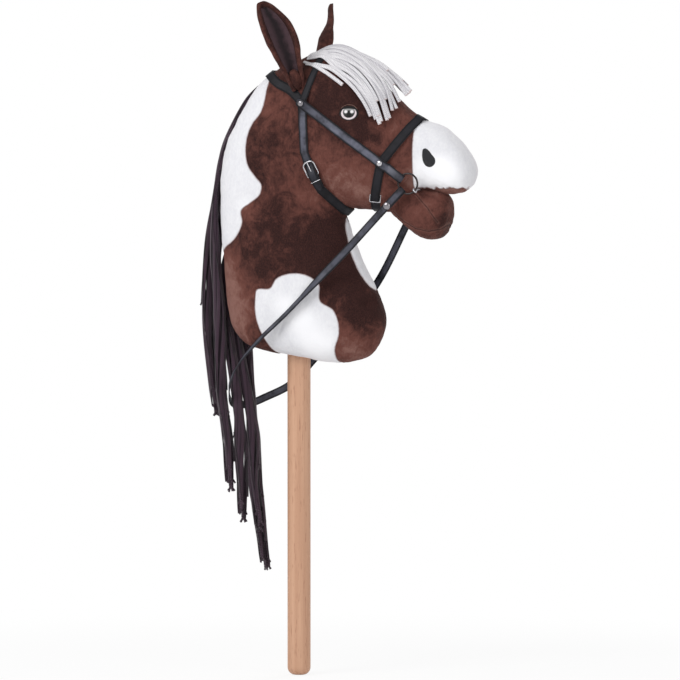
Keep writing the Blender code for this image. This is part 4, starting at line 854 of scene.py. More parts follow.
# A strap end folded round a bit ring: in on the outer layer, round the wire, back on the inner layer
def ringFold(away, width, side, lead, tail):
    sign, (x, y, z), depth = sideSigns[side], bit["centre"], foldDepth(width)
    steps = max(2, round(lead / straps["step"]) + 1)
    points = [
        (x + away[0] * (depth + d), sign * (y + foldBend - h), z + away[1] * (depth + d) + neckBase)
        for d, h in foldSection(np.linspace(lead, 0, steps), foldBend, tail)
    ]
    return flatRows(points, (-sign * away[1], 0, sign * away[0]), width)


# The buckle's own directions: up the strap, across it and outward, from the plane that touches the skin there
def buckleAxes():
    aim = toward(bridle["buckleBar"], bridle["buckleAim"])
    place, upper = (
        formSkin.ray_cast(Vector((x, -0.1, z + neckBase)), Vector((0, 1, 0)))[0]
        for x, z in (bridle["buckleBar"], bridle["buckleBar"] + aim * 0.024)
    )
    up = (upper - place).normalized()
    across = Vector((0, -1, 0)).cross(up).normalized()
    outward = up.cross(across)
    rise = 0.0
    for u in np.linspace(-0.014, 0.022, 10):
        for v in np.linspace(-0.008, 0.008, 5):
            hit = formSkin.ray_cast(place + up * u + across * v + outward * 0.02, -outward, 0.04)[0]
            rise = max(rise, (hit - place).dot(outward)) if hit is not None else rise
    return np.array(place + outward * rise), np.array(up), np.array(across), np.array(outward)


axes = buckleAxes()


# A place by the buckle from its distances up the strap, across it and out from the skin
def byBuckle(u, v, n):
    return axes[0] + axes[1] * u + axes[2] * v + axes[3] * n


# Heights over the skin at the buckle: lower strap, bend round the bar, bar, and the billet over them
def buckleLevels():
    low = straps["skinGap"] + buckle["keeper"] + straps["gap"] + straps["thickness"] / 2 - 0.1 * mm
    bend = buckle["wire"] / 2 + straps["gap"] + straps["thickness"] / 2
    bar = low + bend
    prong = 2 * buckle["prongPlay"] + buckle["prong"]
    over = bar + buckle["wire"] / 2 + prong + straps["thickness"] / 2 + 0.1 * mm
    return low, bend, bar, over


# The throatlatch's end: straight up to the bar, round it and back down for a short tail
def chapeSection():
    low, bend, _, _ = buckleLevels()
    return foldSection(buckle["chape"], bend, buckle["chapeTail"]) * (-1, 1) + (0, low)


# The billet: under the frame's tip, up through the frame, over the bar and the tail, and flat again
def billetSection():
    low, _, _, over = buckleLevels()
    return curve(np.array(buckle["billet"]) * (mm, over - low), 2) + (0, low)


# A strap through the buckle, from its middle line (up, out); way is 1 when it runs up the strap
def buckleRows(section, way):
    return flatRows([byBuckle(u, 0, n) for u, n in section], axes[2] * way, straps["width"])


# Every strap is laid over the skin and over the straps before it, so that they stack where they cross
def makeBridle():
    made, rows = {}, {}
    layers = formSkin
    width, reach = straps["width"], straps["width"] / 2
    turn = math.degrees(reach / (bridle["headWidth"] / 2))
    poll, nose, aim = bridle["pollRivet"], bridle["noseRivet"], bridle["buckleAim"]

    def lay(name, layout, start=True, end=True, wide=width):
        rows[name] = layout
        made[name] = makeStrap(name, layout, width=wide, start=start, end=end)
        return skinOf(formMeshes + [piece.data for piece in made.values()])

    # The strap rises over the slide's lower bar
    def bump(along):
        near = np.clip(1 - np.abs(along - slide["at"]) / (slide["length"] * 0.9), 0, 1)
        return (slide["wire"] + straps["gap"]) * near * near * (3 - 2 * near)

    down = toward(bridle["jawUnder"], nose)
    jaw = hug(layers, sweep(turn, -180 - turn, nose), down, width, bump, reach=0.075)
    layers = lay("jaw_strap", jaw)
    band = hug(layers, sweep(-turn, 180 + turn, nose), toward(nose, bridle["noseRidge"]), width)
    layers = lay("noseband", band)
    crown = (bridle["crown"][0], (0, *poll), *bridle["crown"][1:])
    crown += tuple((180 - angle, x, z) for angle, x, z in crown[-2::-1])
    layers = lay("crownpiece", hug(layers, crown, (-0.15, 0.99), width))

    upper = past(aim, poll, reach)
    billet = hug(layers, sideRays((upper, poll, *bridle["billet"], aim), "right"), (0, 1), width)
    under = bridle["under"] + tuple((540 - angle, x, z) for angle, x, z in bridle["under"][-2::-1])
    start = byBuckle(-0.020, 0, buckleLevels()[0])
    throat = sideRays((upper, poll, *bridle["throat"]), "left")
    throat += [*under, (360, start[0], start[2] - neckBase)]
    chape = hug(layers, throat, (-0.7, 0.7), width, reach=0.055, held=-start[1])
    layers = lay("throatlatch", np.vstack([chape, buckleRows(chapeSection(), 1)]), True, False)
    layers = lay("throat_billet", np.vstack([billet, buckleRows(billetSection(), -1)]))
    brow = hug(layers, sweep(-turn, 180 + turn, poll), toward(poll, bridle["browTop"]), straps["browWidth"])
    layers = lay("browband", brow, wide=straps["browWidth"])
    ring = (bit["centre"][0], bit["centre"][2])
    for side in sideSigns:
        line = (past(nose, poll, reach), poll, nose, past(poll, nose, 0.008))
        cheek = hug(layers, sideRays(line, side), (0, 1), width)
        folded = ringFold(toward(ring, nose), width, side, 0.008, 0.013)
        hung = clearRows(layers, even(np.vstack([cheek, folded[:1]]), straps["step"]), straps["skinGap"])
        layers = lay(f"cheekpiece_{side}", np.vstack([hung[:-1], folded]), True, True)
        depth = foldDepth(straps["reinWidth"])
        away = np.array(rein["away"][side]) / math.hypot(*rein["away"][side])
        lead, tail = rein["endReach"] - depth, rein["studReach"] + 0.005 - depth
        end = ringFold(away, straps["reinWidth"], side, lead, tail)
        layers = lay(f"rein_end_{side}", end, False, True, straps["reinWidth"])
    return made, rows


strapPieces, strapRows = makeBridle()
print("bridle straps made:", len(strapPieces))


# Seat, axis, radius, rise and depth of a turned node, from the spread of its points; its axis points outwards
def measured(name):
    co = np.array([point.co for point in nodes[name].data.vertices])
    co = np.unique(np.round(co, 6), axis=0)
    sign = 1 if co[:, 1].mean() > 0 else -1
    middle = co.mean(0)
    values, ways = np.linalg.eigh(np.cov((co - middle).T))
    gaps = (values[1] - values[0], values[2] - values[1])
    axis = ways[:, 2] if gaps[1] > gaps[0] else ways[:, 0]
    axis = axis * (1 if axis[1] * sign > 0 else -1)
    height = (co - middle) @ axis
    radial = np.linalg.norm(co - middle - height[:, None] * axis, axis=1)
    wide = radial > radial.max() * 0.97
    seat = height[wide].min()
    return middle + axis * seat, axis, radial.max(), height.max() - seat, seat - height.min()


# Unit directions all round an axis
def circle(axis, count):
    sideways = unit(np.cross(axis, (0.31, 0.17, 0.93)))
    turn = np.linspace(0, 2 * math.pi, count, endpoint=False)[:, None]
    return np.cos(turn) * sideways + np.sin(turn) * np.cross(axis, sideways)


# A profile (radius, height) turned about an axis at a place
def turnedGrid(profile, place, axis, steps=40):
    profile = np.asarray(profile)
    return place + profile[:, :1, None] * circle(axis, steps) + profile[:, 1:, None] * axis


# A ring of round wire: a circle carried round a circle about an axis
def ringGrid(radius, wire, place, axis, around, section):
    path = place + radius * circle(axis, around)
    return carried(path, np.asarray(axis, float), oval(wire, wire, section), closed=True)


# A piece of round wire bent in a closed loop
def makeLoop(name, path, facing, wire, section):
    grid = carried(path, facing, oval(wire, wire, section), closed=True)
    makePiece(name, grid, brightSteel, "steel", loop=True)


# A domed rivet or stud: a low dome with a rolled rim over a short shank
def makeRivet(name):
    place, axis, radius, rise, depth = measured(name)
    turn = np.linspace(math.radians(4), math.radians(88), 10)
    dome = np.column_stack([radius * np.sin(turn), rise * (0.14 + 0.86 * np.cos(turn))])
    rim = [(radius * 1.0, rise * 0.08), (radius * 0.97, -rise * 0.05), (radius * 0.80, -rise * 0.10)]
    shank = [(1.5 * mm, -rise * 0.10), (1.5 * mm, -depth)]
    steel = brightSteel if name.startswith("nose") else rivetSteel
    makePiece(name, turnedGrid(np.vstack([dome, rim, shank]), place, axis), steel, "steel", sharp=50)


# Several grids of different sizes, closed round or capped, as the points and faces of one piece
def gathered(parts):
    points, faces = [], []
    for grid, loop in parts:
        start = sum(len(part) for part in points)
        faces += [[start + corner for corner in face] for face in gridFaces(grid, along=loop)]
        points.append(grid.reshape(-1, 3))
    return np.vstack(points), faces


# Two loose rings, and a mouthpiece whose eyes close round their wires
def makeBit():
    x, y, z = bit["centre"]
    z += neckBase
    turn = math.radians(bit["barAngle"])
    mouth = np.array((x + bit["ringRadius"] * math.cos(turn), 0, z + bit["ringRadius"] * math.sin(turn)))
    tangent = np.array((-math.sin(turn), 0, math.cos(turn)))
    eye = bit["ringWire"] / 2 + bit["eyePlay"] + bit["eyeWire"] / 2
    half, thick = y - eye, bit["bar"] / 2
    profile = [(0.2 * mm, half + 0.6 * mm), (thick * 0.7, half + 0.5 * mm), (thick * 0.95, half - 0.4 * mm)]
    profile += [(thick, half - 2 * mm), (thick * 0.86, half - 4 * mm), (thick, half - 6 * mm)]
    profile += [(radius, -height) for radius, height in reversed(profile)]
    parts = [(turnedGrid(profile, mouth, np.array((0.0, 1.0, 0.0)), 32), False)]
    for side, sign in sideSigns.items():
        name, centre = f"bit_ring_{side}", np.array((x, sign * y, z))
        ring = ringGrid(bit["ringRadius"], bit["ringWire"], centre, (0, 1, 0), 96, 16)
        makePiece(name, ring, darkNickel, "dark_nickel", body=name, loop=True)
        parts.append((ringGrid(eye, bit["eyeWire"], mouth + (0, sign * y, 0), tangent, 48, 12), True))
    points, faces = gathered(parts)
    makePiece("bit_mouthpiece", points, brightSteel, "steel", faces, sharp=50)


# Corners of a rounded rectangle, each turned in six steps, as (along, across)
def roundedLoop(halfLength, halfWidth, corner):
    turn = (np.arange(4)[:, None] + np.arange(7) / 6) * math.pi / 2
    signs = np.array([(1, 1), (-1, 1), (-1, -1), (1, -1)])[:, None]
    bends = corner * np.stack([np.cos(turn), np.sin(turn)], -1)
    return (signs * (halfLength - corner, halfWidth - corner) + bends).reshape(-1, 2)


# Frame of bent wire, swinging prong with its own loop, and a wire keeper round the straps
def makeBuckle():
    low, _, bar, over = buckleLevels()
    half = straps["width"] / 2 + buckle["sidePlay"] + buckle["wire"] / 2
    loop, wide = (roundedLoop(buckle["length"] / 2, half, buckle[end]) for end in ("barCorner", "tipCorner"))
    loop = np.where(loop[:, :1] > 0, wide, loop)
    path = np.array([byBuckle(u + buckle["length"] / 2, v, bar) for u, v in loop])
    makeLoop("throat_buckle", path, axes[3], buckle["wire"], 16)

    reach = buckle["wire"] / 2 + buckle["prongPlay"] + buckle["prong"] / 2
    thick = buckle["prong"] / 2
    tip = buckle["length"] + buckle["prongTip"]
    profile = [(0.1 * mm, tip), (thick * 0.45, tip - thick * 0.15), (thick * 0.85, tip - thick * 0.6)]
    profile += [(thick, tip - thick * 1.3)] + [(thick, tip * share) for share in (0.8, 0.5, 0.2, 0.0)]
    finger = turnedGrid(profile, byBuckle(0, 0, bar + reach), axes[1], 24)
    eye = ringGrid(reach, buckle["prong"], byBuckle(0, 0, bar), axes[2], 40, 14)
    points, faces = gathered([(eye, True), (finger, False)])
    name = "throat_buckle_prong"
    makePiece(name, points, brightSteel, "steel", faces, body=name, sharp=60)

    wire = buckle["keeper"]
    side = straps["width"] / 2 + straps["gap"] + wire / 2
    bottom = low - straps["thickness"] / 2 - straps["gap"] - wire / 2
    roof = low + (over - low) * buckle["keeperShare"] + straps["thickness"] / 2
    roof += straps["gap"] + wire / 2 + 0.2 * mm
    loop = roundedLoop(side, (roof - bottom) / 2, buckle["keeperCorner"])
    path = np.array([byBuckle(buckle["keeperAt"], v, (bottom + roof) / 2 + n) for v, n in loop])
    makeLoop("throat_keeper", path, axes[1], wire, 12)


# A square wire slide: the jaw strap goes over its first bar and under its second
def makeSlide():
    rows = strapRows["jaw_strap"]
    middle = middleOf(rows)
    along = lengths(middle)
    reach = straps["thickness"] / 2 + straps["gap"] + slide["wire"] / 2
    half = straps["width"] / 2 + straps["gap"] + slide["wire"] / 2
    bars = []
    for at, side in ((slide["at"], -1), (slide["at"] + slide["length"], 1)):
        centre, ahead, back = (readAt([at + step], along, middle)[0] for step in (0, 2 * mm, -2 * mm))
        across = unit(readAt([at], along, rows[:, 3:])[0] - readAt([at], along, rows[:, :3])[0])
        outward = unit(np.cross(across, ahead - back))
        bars.append((centre + outward * side * reach, across * half))
    (low, lowAcross), (high, highAcross) = bars
    centre, run, sideways = (low + high) / 2, (high - low) / 2, (lowAcross + highAcross) / 2
    loop = roundedLoop(np.linalg.norm(run), np.linalg.norm(sideways), slide["corner"])
    path = centre + loop[:, :1] * unit(run) + loop[:, 1:] * unit(sideways)
    makeLoop("jaw_strap_slide", path, np.cross(unit(run), unit(sideways)), slide["wire"], 12)


for side in sideSigns:
    for kind in ("poll_rivet", "nose_rivet", "rein_stud"):
        makeRivet(f"{kind}_{side}")
makeBit()
makeBuckle()
makeSlide()
print("metal made")


stuffing = {
    # each form's full width, and how much wider than its first profile its second one is
    "neck": (96 * mm, -0.10), "head": (92 * mm, 0.06), "jaw": (62 * mm, 0.0), "fullness": 0.86,
    # the size of the skin's quads, the fullness between seams, the height of lumps, and the filling
    "cover": (4.0 * mm, 0.5 * mm, 0.9 * mm, 0.9), "bulb": (1.3 * mm, 0.7 * mm, 0.6 * mm, 0.85),
    "pressure": 40.0, "mass": 0.02, "frames": 20, "cap": 3.0 * mm, "pinned": 3.5 * mm,
    "sink": 0.35 * mm, "ease": 5.0 * mm,  # how far straps press in, and how far beside them it eases up
    # how deep each seam draws the cloth in, and over what width
    "seams": {
        "patch": (1.1 * mm, 2.4 * mm), "crest": (1.0 * mm, 2.6 * mm), "dimple": (5.0 * mm, 7 * mm),
        "poleHole": (1.6 * mm, 4 * mm), "fold": (1.1 * mm, 2.2 * mm), "cheek": (1.5 * mm, 1.7 * mm),
        "chin": (0.9 * mm, 1.6 * mm),
    },
    "dimple": (0.1010, 0.066), "throat": (0.010, 0.300), "throatReach": 0.075,
    "poleHole": 15 * mm, "poleSewn": 12 * mm,
    # side-view lines of the fold behind the shoulder patch, the jaw's cheek seam and its chin seam
    "fold": ((-15, 20), (-11, 32), (-6, 43)),
    "cheek": ((150, 216), (167, 208), (183, 192), (197, 172)),
    "chin": ((134, 186), (150, 173), (166, 164), (184, 160), (200, 163), (209, 172)),
}
# Ribs: two ends of a cross-section in side view (x, z, x, z) and its share of the full width
neckRibs = (
    (5, -3, 5, -3, 0), (-45, 5, 75, -9, 0.58), (-72, 14, 101, 2, 0.83), (-86, 30, 113, 22, 0.96),
    (-93, 56, 118, 45, 1.0), (-97, 87, 110, 74, 0.98), (-101, 122, 91, 112, 0.92),
    (-104, 157, 76, 147, 0.875), (-105.5, 192, 66, 177, 0.83), (-105, 227, 60, 205, 0.81),
    (-100, 264, 54, 250, 0.78), (-90, 290, 46, 300, 0.75), (-76, 314, 36, 335, 0.70),
    (-58, 343, 22, 362, 0.62), (-40, 361, 8, 374, 0.46), (-22, 372, -10, 376, 0.20), (-15, 374, -15, 374, 0),
)
headRibs = (
    (-47, 294, -47, 294, 0), (-45, 327, -25, 262, 0.40), (-34, 352, 0, 222, 0.72), (-16, 368, 38, 200, 0.89),
    (12, 386, 66, 191, 0.97), (40, 392, 92, 188, 1.0), (72, 383, 112, 187, 0.95), (104, 360, 128, 185, 0.85),
    (132, 334, 146, 188, 0.745), (154, 315, 160, 198, 0.69), (170, 304, 168, 210, 0.68),
    (184, 299.5, 177, 212, 0.725), (198.5, 294, 190, 211, 0.775), (212, 283, 204, 209, 0.785),
    (226, 268, 217.5, 209, 0.72), (235.5, 252, 230.5, 214.5, 0.55), (239, 240, 237, 227, 0.29),
    (240, 234, 240, 234, 0),
)
jawRibs = (
    (118, 203, 118, 203, 0), (127, 214, 122, 191, 0.52), (140, 219, 136, 176.5, 0.81),
    (156, 218, 152, 162.5, 0.94), (171, 216, 168, 152.5, 1.0), (185, 213, 184, 149.5, 1.0),
    (198, 210, 197, 155, 0.87), (205, 202, 205, 168, 0.61), (208.5, 187, 208.5, 187, 0),
)
# White patches in side view; the crest patch runs over the crest and the shoulder patch under the neck
patches = {
    "crest": (
        (-32, 360), (-34, 343), (-36, 328), (-41, 313), (-52, 299), (-59, 284), (-61, 262), (-57, 244),
        (-47, 231), (-38, 219), (-40, 208), (-54, 196), (-67, 186), (-65, 171), (-70, 158), (-80, 146),
        (-93, 138), (-112, 118), (-130, 190), (-130, 260), (-100, 320), (-60, 372),
    ),
    "shoulder": (
        (-44, 84), (-24, 87), (-17, 98), (4, 106), (28, 102), (41, 92), (44, 70), (60, 59), (67, 42),
        (67, 26), (61, 10), (57, -14), (38, -30), (0, -30), (-26, 6), (-34, 20), (-44, 44), (-46, 72),
    ),
}
# The white strip down the chest in front view, and where the white muzzle starts along x and over z
gusset = (
    (0, 83), (11, 88), (16, 104), (16, 130), (12, 156), (6, 172), (0, 178), (-6, 172), (-12, 156), (-16, 130),
    (-16, 104), (-11, 88),
)
muzzle = {"seam": 0.163, "lip": 0.2155}
# Where the nap lies light (+) or dark (-), with painted shade in the dimple and painted light where white
# cloth is made bright:
# x, z and radius in millimetres, and by how much
napAndPaintedLightSpots = (
    (-84, 70, 34, 0.75), (-78, 30, 30, 0.6), (-92, 112, 24, 0.6), (-60, 190, 18, 0.5), (84, 8, 30, 0.45),
    (104, 36, 20, 0.2), (20, 200, 26, 0.35), (60, 228, 40, 0.42), (104, 214, 34, 0.5), (30, 260, 30, 0.22),
    (-20, 330, 26, 0.35), (140, 300, 26, 0.45), (150, 245, 22, 0.35), (96, 300, 34, -0.25),
    (60, 330, 34, -0.2), (0, 150, 60, -0.15), (60, 130, 40, -0.2), (176, 186, 34, 0.2), (150, 168, 18, 0.2),
    # painted shade: the spots at (101, 66), (94, 92) and (96, 52) darken the dimple at the front of the neck
    (58, 152, 30, -0.5), (62, 105, 26, -0.4), (196, 176, 12, -0.2), (101, 66, 9, -0.6), (94, 92, 9, -0.4),
    (96, 52, 20, -0.65), (86, 6, 16, 0.3), (222, 210, 10, 0.5), (184, 186, 16, 0.15),
    # painted light: these last spots brighten the white shoulder patch and the white muzzle
    (16, 50, 26, 0.6), (36, 12, 26, 0.7), (-8, 66, 20, 0.4), (206, 232, 26, 1.0), (180, 240, 18, 0.5),
    (163, 223, 8, 0.9),
)
toneBase = 0.25


# A stuffed form: each rib is a superellipse between its two profile ends, wider towards the second by egg
def stuffedGrid(ribs, form, steps, columns):
    (width, egg), rows = stuffing[form], curve(np.array(ribs, float), steps)
    first, second = places(rows[:, 0:2]), places(rows[:, 2:4])
    half = (np.clip(rows[:, 4], 0, None) * width / 2)[:, None]
    turn = np.linspace(0, 2 * math.pi, columns, endpoint=False)
    c, s = np.cos(turn), np.sin(turn)
    reach = np.sign(c) * np.abs(c) ** stuffing["fullness"]
    sideways = np.sign(s) * np.abs(s) ** stuffing["fullness"] * (1 - egg * c)
    middle, way = (first + second) / 2, (first - second) / 2
    x, z = (middle[:, [k]] + way[:, [k]] * reach for k in (0, 1))
    return np.stack([x, half * sideways, z], -1)


# The mesh that a modifier makes of another mesh
def applied(mesh, kind, **settings):
    rough = placed("rough", mesh)
    change = rough.modifiers.new("change", kind)
    for key, value in settings.items():
        setattr(change, key, value)
    view = bpy.context.evaluated_depsgraph_get()
    view.update()
    result = bpy.data.meshes.new_from_object(rough.evaluated_get(view), depsgraph=view)
    bpy.data.objects.remove(rough)
    return result


# Forms fused into one even skin of small quads
def fusedSkin(grids, cell):
    points, faces = gathered([(grid, False) for grid in grids])
    mesh = bpy.data.meshes.new("rough")
    mesh.from_pydata(points.tolist(), [], faces)
    faceOutward(mesh)
    return applied(mesh, "REMESH", mode="VOXEL", voxel_size=cell, adaptivity=0)


# Points drawn halfway towards the mean of their neighbours, as far as their weight from 0 to 1 lets them
def relaxed(points, edges, rounds, weight=1.0):
    count = len(points)
    near = np.bincount(edges.ravel(), minlength=count)[:, None]
    weight = np.broadcast_to(np.asarray(weight, float).reshape(-1, 1), (count, 1))
    for _ in range(rounds):
        total = np.column_stack([
            sum(np.bincount(edges[:, end], points[edges[:, 1 - end], k], count) for end in (0, 1))
            for k in range(3)
        ])
        points = points + (total / near - points) * 0.5 * weight
    return points


# Cloth blown up from inside for some frames: pinned points stay, and no point moves further than the cap
def inflated(mesh, pinned):
    pad = placed("pad", mesh)
    sewn = pad.vertex_groups.new(name="sewn")
    sewn.add(np.flatnonzero(pinned).tolist(), 1.0, "REPLACE")
    cloth = pad.modifiers.new("cloth", "CLOTH")
    cloth.settings.use_pressure = True
    cloth.settings.uniform_pressure_force = stuffing["pressure"]
    cloth.settings.effector_weights.gravity = 0
    cloth.settings.vertex_group_mass = sewn.name
    cloth.settings.mass = stuffing["mass"]
    cloth.settings.bending_stiffness = 1.0
    cloth.point_cache.frame_start, cloth.point_cache.frame_end = 1, stuffing["frames"]
    for number in range(1, stuffing["frames"] + 1):
        bpy.context.scene.frame_set(number)
    before = valuesOf(mesh.vertices)
    blown = pad.evaluated_get(bpy.context.evaluated_depsgraph_get()).to_mesh()
    move = valuesOf(blown.vertices) - before
    far = np.linalg.norm(move, axis=1, keepdims=True)
    bpy.data.objects.remove(pad)
    bpy.context.scene.frame_set(1)
    print(f"cloth moved {far.mean() / mm:.2f} mm on average, {far.max() / mm:.2f} mm at most")
    return before + move * np.minimum(1, stuffing["cap"] / np.maximum(far, 1e-9))


# How near each point is to the middle lines of the straps
def fromStraps(points):
    lines = [middleOf(rows) for name, rows in strapRows.items() if not name.startswith("rein")]
    tree = KDTree(sum(len(line) for line in lines))
    for number, place in enumerate(np.vstack(lines)):
        tree.insert(place, number)
    tree.balance()
    return np.array([tree.find(place)[2] for place in points])


# Points pushed down where a strap lies over them: flat under it, easing up again beside it
def pressedUnder(points, rows, width):
    centre, ease = middleOf(rows), stuffing["ease"]
    low, high = centre.min(0) - width - ease, centre.max(0) + width + ease
    chosen = np.flatnonzero(((points > low) & (points < high)).all(1))
    fine = even(rows, 1.5 * mm)
    centre = middleOf(fine)
    across = unit(fine[:, 3:] - fine[:, :3])
    up = unit(np.cross(across, np.gradient(centre, axis=0)))
    for part in np.array_split(chosen, max(1, len(chosen) // 4000)):
        gap = points[part][:, None] - centre
        nearest = (gap**2).sum(2).argmin(1)
        away = points[part] - centre[nearest]
        sideways, height = ((away * way[nearest]).sum(1) for way in (across, up))
        aside = np.abs(sideways) - width / 2
        run = np.linalg.norm(away, axis=1) ** 2 - height**2 - sideways**2
        roof = -straps["thickness"] / 2 - stuffing["sink"] + np.clip(aside, 0, None) ** 1.3 * 0.6 * mm ** -0.3
        short = np.clip(height - roof, 0, None) * (aside < ease) * (run < (3 * mm) ** 2) * (height < 9 * mm)
        points[part] -= up[nearest] * short[:, None]
    return points


# How far inside the white patches each point lies, positive inside, from its side view, front view and place
def whiteness(points):
    side, front = points[:, [0, 2]], points[:, [1, 2]]
    inside = np.full(len(points), -1.0)
    for outline in patches.values():
        inside = np.maximum(inside, insideBy(side, curve(places(outline), 6, closed=True)))
    strip = insideBy(front, curve(places(gusset), 6, closed=True))
    inside = np.maximum(inside, np.where(points[:, 0] > 0.02, strip, -1.0))
    ragged = ripple(points * (1, 0.4, 0), 9 * mm, 14) + 0.6 * ripple(points * (1, 0.4, 0), 4 * mm, 15)
    lip = muzzle["lip"] + neckBase + 1.1 * mm * ragged
    front = np.minimum(points[:, 0] - muzzle["seam"], points[:, 2] - lip)
    return np.where(points[:, 0] > 0.12, front, inside)


# How light the nap looks, with painted shade and painted light from some spots: broad bell-shaped spots in
# side view
def toneOf(points):
    tone = np.full(len(points), toneBase)
    for x, z, radius, amount in napAndPaintedLightSpots:
        far = np.hypot(points[:, 0] - x * mm, points[:, 2] - neckBase - z * mm)
        tone += amount * np.exp(-((far / (radius * mm)) ** 2))
    return tone


# Stuffed cloth over a fused skin: drawn in along its seams, full between them, with soft lumps; a seam is the
# distance of every point from it, its depth and its width
def dressed(mesh, seams, puff, lumps):
    points = valuesOf(mesh.vertices)
    depth = np.zeros(len(points))
    for distance, sink, spread in seams:
        depth -= sink * np.exp(-((distance / spread) ** 2))
        pucker = ripple(points, 11 * mm, 3) * np.exp(-((distance / (9 * mm)) ** 2)) * (distance > spread)
        depth += pucker * 0.35 * mm
    depth += puff * (1 - np.exp(-((np.min([seam[0] for seam in seams], 0) / (16 * mm)) ** 2)))
    depth += lumps * ripple(points, 70 * mm, 5) * 0.6 + lumps * 0.45 * ripple(points, 28 * mm, 8)
    depth += 0.10 * mm * ripple(points, 8 * mm, 11)
    return points + valuesOf(mesh.vertex_normals, "vector") * depth[:, None]


# Puts the mesh's points back, with the measures that its finish reads, and makes it a riding piece
def finishPlush(name, mesh, points, seam, stands):
    mesh.vertices.foreach_set("co", points.ravel())
    for field, values in (("white", whiteness(points)), ("tone", toneOf(points)), ("seam", seam)):
        mesh.attributes.new(field, "FLOAT", "POINT").data.foreach_set("value", values.astype(np.float32))
    mesh.update()
    mesh.shade_smooth()
    mesh.materials.clear()
    mesh.materials.append(plush)
    mesh.name = name
    piece = placed(name, mesh)
    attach(piece, "horse")
    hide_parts(*stands)
    return piece


# The head and neck under one cover
def makeCover():
    cell, puff, lumps, fill = stuffing["cover"]
    mesh = fusedSkin([stuffedGrid(neckRibs, "neck", 5, 96), stuffedGrid(headRibs, "head", 5, 96)], cell)
    points, edges = valuesOf(mesh.vertices), valuesOf(mesh.edges, "vertices", 2, np.int32)

    # Distances from a place in side view, and from the pole's middle
    def away(place):
        return np.hypot(points[:, 0] - place[0], points[:, 2] - neckBase - place[1])

    def fromPole():
        return np.hypot(points[:, 0], points[:, 1])

    throat = np.exp(-(away(stuffing["throat"]) / stuffing["throatReach"]) ** 2)
    points = relaxed(relaxed(points, edges, 3), edges, 14, throat)
    mesh.vertices.foreach_set("co", points.ravel())
    sewn = np.minimum(np.abs(whiteness(points)), fromStraps(points))
    pole = np.where(points[:, 2] < neckBase + 20 * mm, fromPole() - stuffing["poleSewn"], 1)
    points = inflated(mesh, np.minimum(sewn, pole) < stuffing["pinned"])
    points = relaxed(points, edges, 2)
    mesh.vertices.foreach_set("co", points.ravel())
    mesh = applied(mesh, "SUBSURF", levels=1, render_levels=1)
    points = valuesOf(mesh.vertices)
    poleHole = np.abs(fromPole() - stuffing["poleHole"])
    distances = {
        "patch": np.abs(whiteness(points)),
        "crest": np.hypot(points[:, 1], np.clip(points[:, 0] + 0.050, 0, None)),
        "dimple": np.hypot(away(stuffing["dimple"]), (np.abs(points[:, 1]) < 0.01) * 0.05),
        "poleHole": np.where(points[:, 2] < neckBase + 30 * mm, poleHole, 0.05),
        "fold": awayFrom(points[:, [0, 2]], places(stuffing["fold"])) + (points[:, 1] > 0) * 0.05,
    }
    seams = [(distance, *stuffing["seams"][name]) for name, distance in distances.items()]
    points = dressed(mesh, seams, puff, lumps)
    for name, rows in strapRows.items():
        if not name.startswith("rein_end"):
            points = pressedUnder(points, rows, straps["browWidth" if name == "browband" else "width"])
    panels = [name for name in panelNodes if not name.startswith(("eye", "nostril"))]
    return finishPlush("plushCover", mesh, points, distances["crest"], formNodes[:4] + panels)


# The lower jaw: a bulb with a seam from the corner of the mouth and one under its chin
def makeJaw():
    cell, puff, lumps, fill = stuffing["bulb"]
    mesh = fusedSkin([stuffedGrid(jawRibs, "jaw", 6, 80)], cell)
    side = valuesOf(mesh.vertices)[:, [0, 2]]
    seams = [(awayFrom(side, places(stuffing[name])), *stuffing["seams"][name]) for name in ("cheek", "chin")]
    points = dressed(mesh, seams, puff, lumps)
    points = pressedUnder(points, strapRows["jaw_strap"], straps["width"])
    nearest = np.minimum(seams[0][0], seams[1][0])
    return finishPlush("lowerJaw", mesh, points, nearest, ["lower_jaw"])


cover = makeCover()
jaw = makeJaw()
print("plush made:", len(cover.data.polygons), len(jaw.data.polygons))


ears = {
    "length": {"right": 131 * mm, "left": 123 * mm}, "width": 51 * mm, "thickness": 4.0 * mm, "rim": 3.2 * mm,
    "root": (0.013, 0.034, 0.338),
    # the lining's share of the width, its reach along the ear, its gap over the cloth and its thickness
    "liningShare": 0.62, "liningReach": (0.20, 0.93), "liningGap": 0.2 * mm, "liningPad": 1.0 * mm,
    "poses": {"right": (22, 11, 60), "left": (22, -9, 20)},  # degrees out, back and turned
    # the stuffed root between the folded edges: radius and height in millimetres
    "plug": ((0.4, 6), (3.6, 7), (5.2, 11), (6.4, 17), (7.0, 23), (6.4, 28), (4.4, 32), (0.4, 34)),
    # share of the length, share of the half width, curl in degrees, lean back, and shift to the outer edge
    "right": (
        (0.05, 0.48, 120, 0, 0), (0.16, 0.66, 116, 0, 0), (0.34, 0.86, 100, -0.001, 0),
        (0.55, 1.00, 78, -0.002, 0), (0.72, 0.88, 64, -0.001, 0.002), (0.86, 0.60, 54, 0.001, 0.006),
        (0.95, 0.35, 48, 0.002, 0.0095), (1.00, 0.16, 46, 0.003, 0.012),
    ),
    "left": (
        (0.05, 0.48, 126, 0, 0), (0.16, 0.66, 122, 0, 0), (0.34, 0.86, 116, 0.001, 0),
        (0.54, 1.02, 109, 0.0015, 0), (0.64, 0.91, 98, 0.001, 0), (0.72, 0.70, 80, 0, 0),
        (0.80, 0.54, 60, -0.002, 0), (0.90, 0.46, 46, -0.0015, 0), (0.96, 0.42, 40, -0.0005, 0),
        (1.00, 0.32, 36, 0.001, 0),
    ),
}


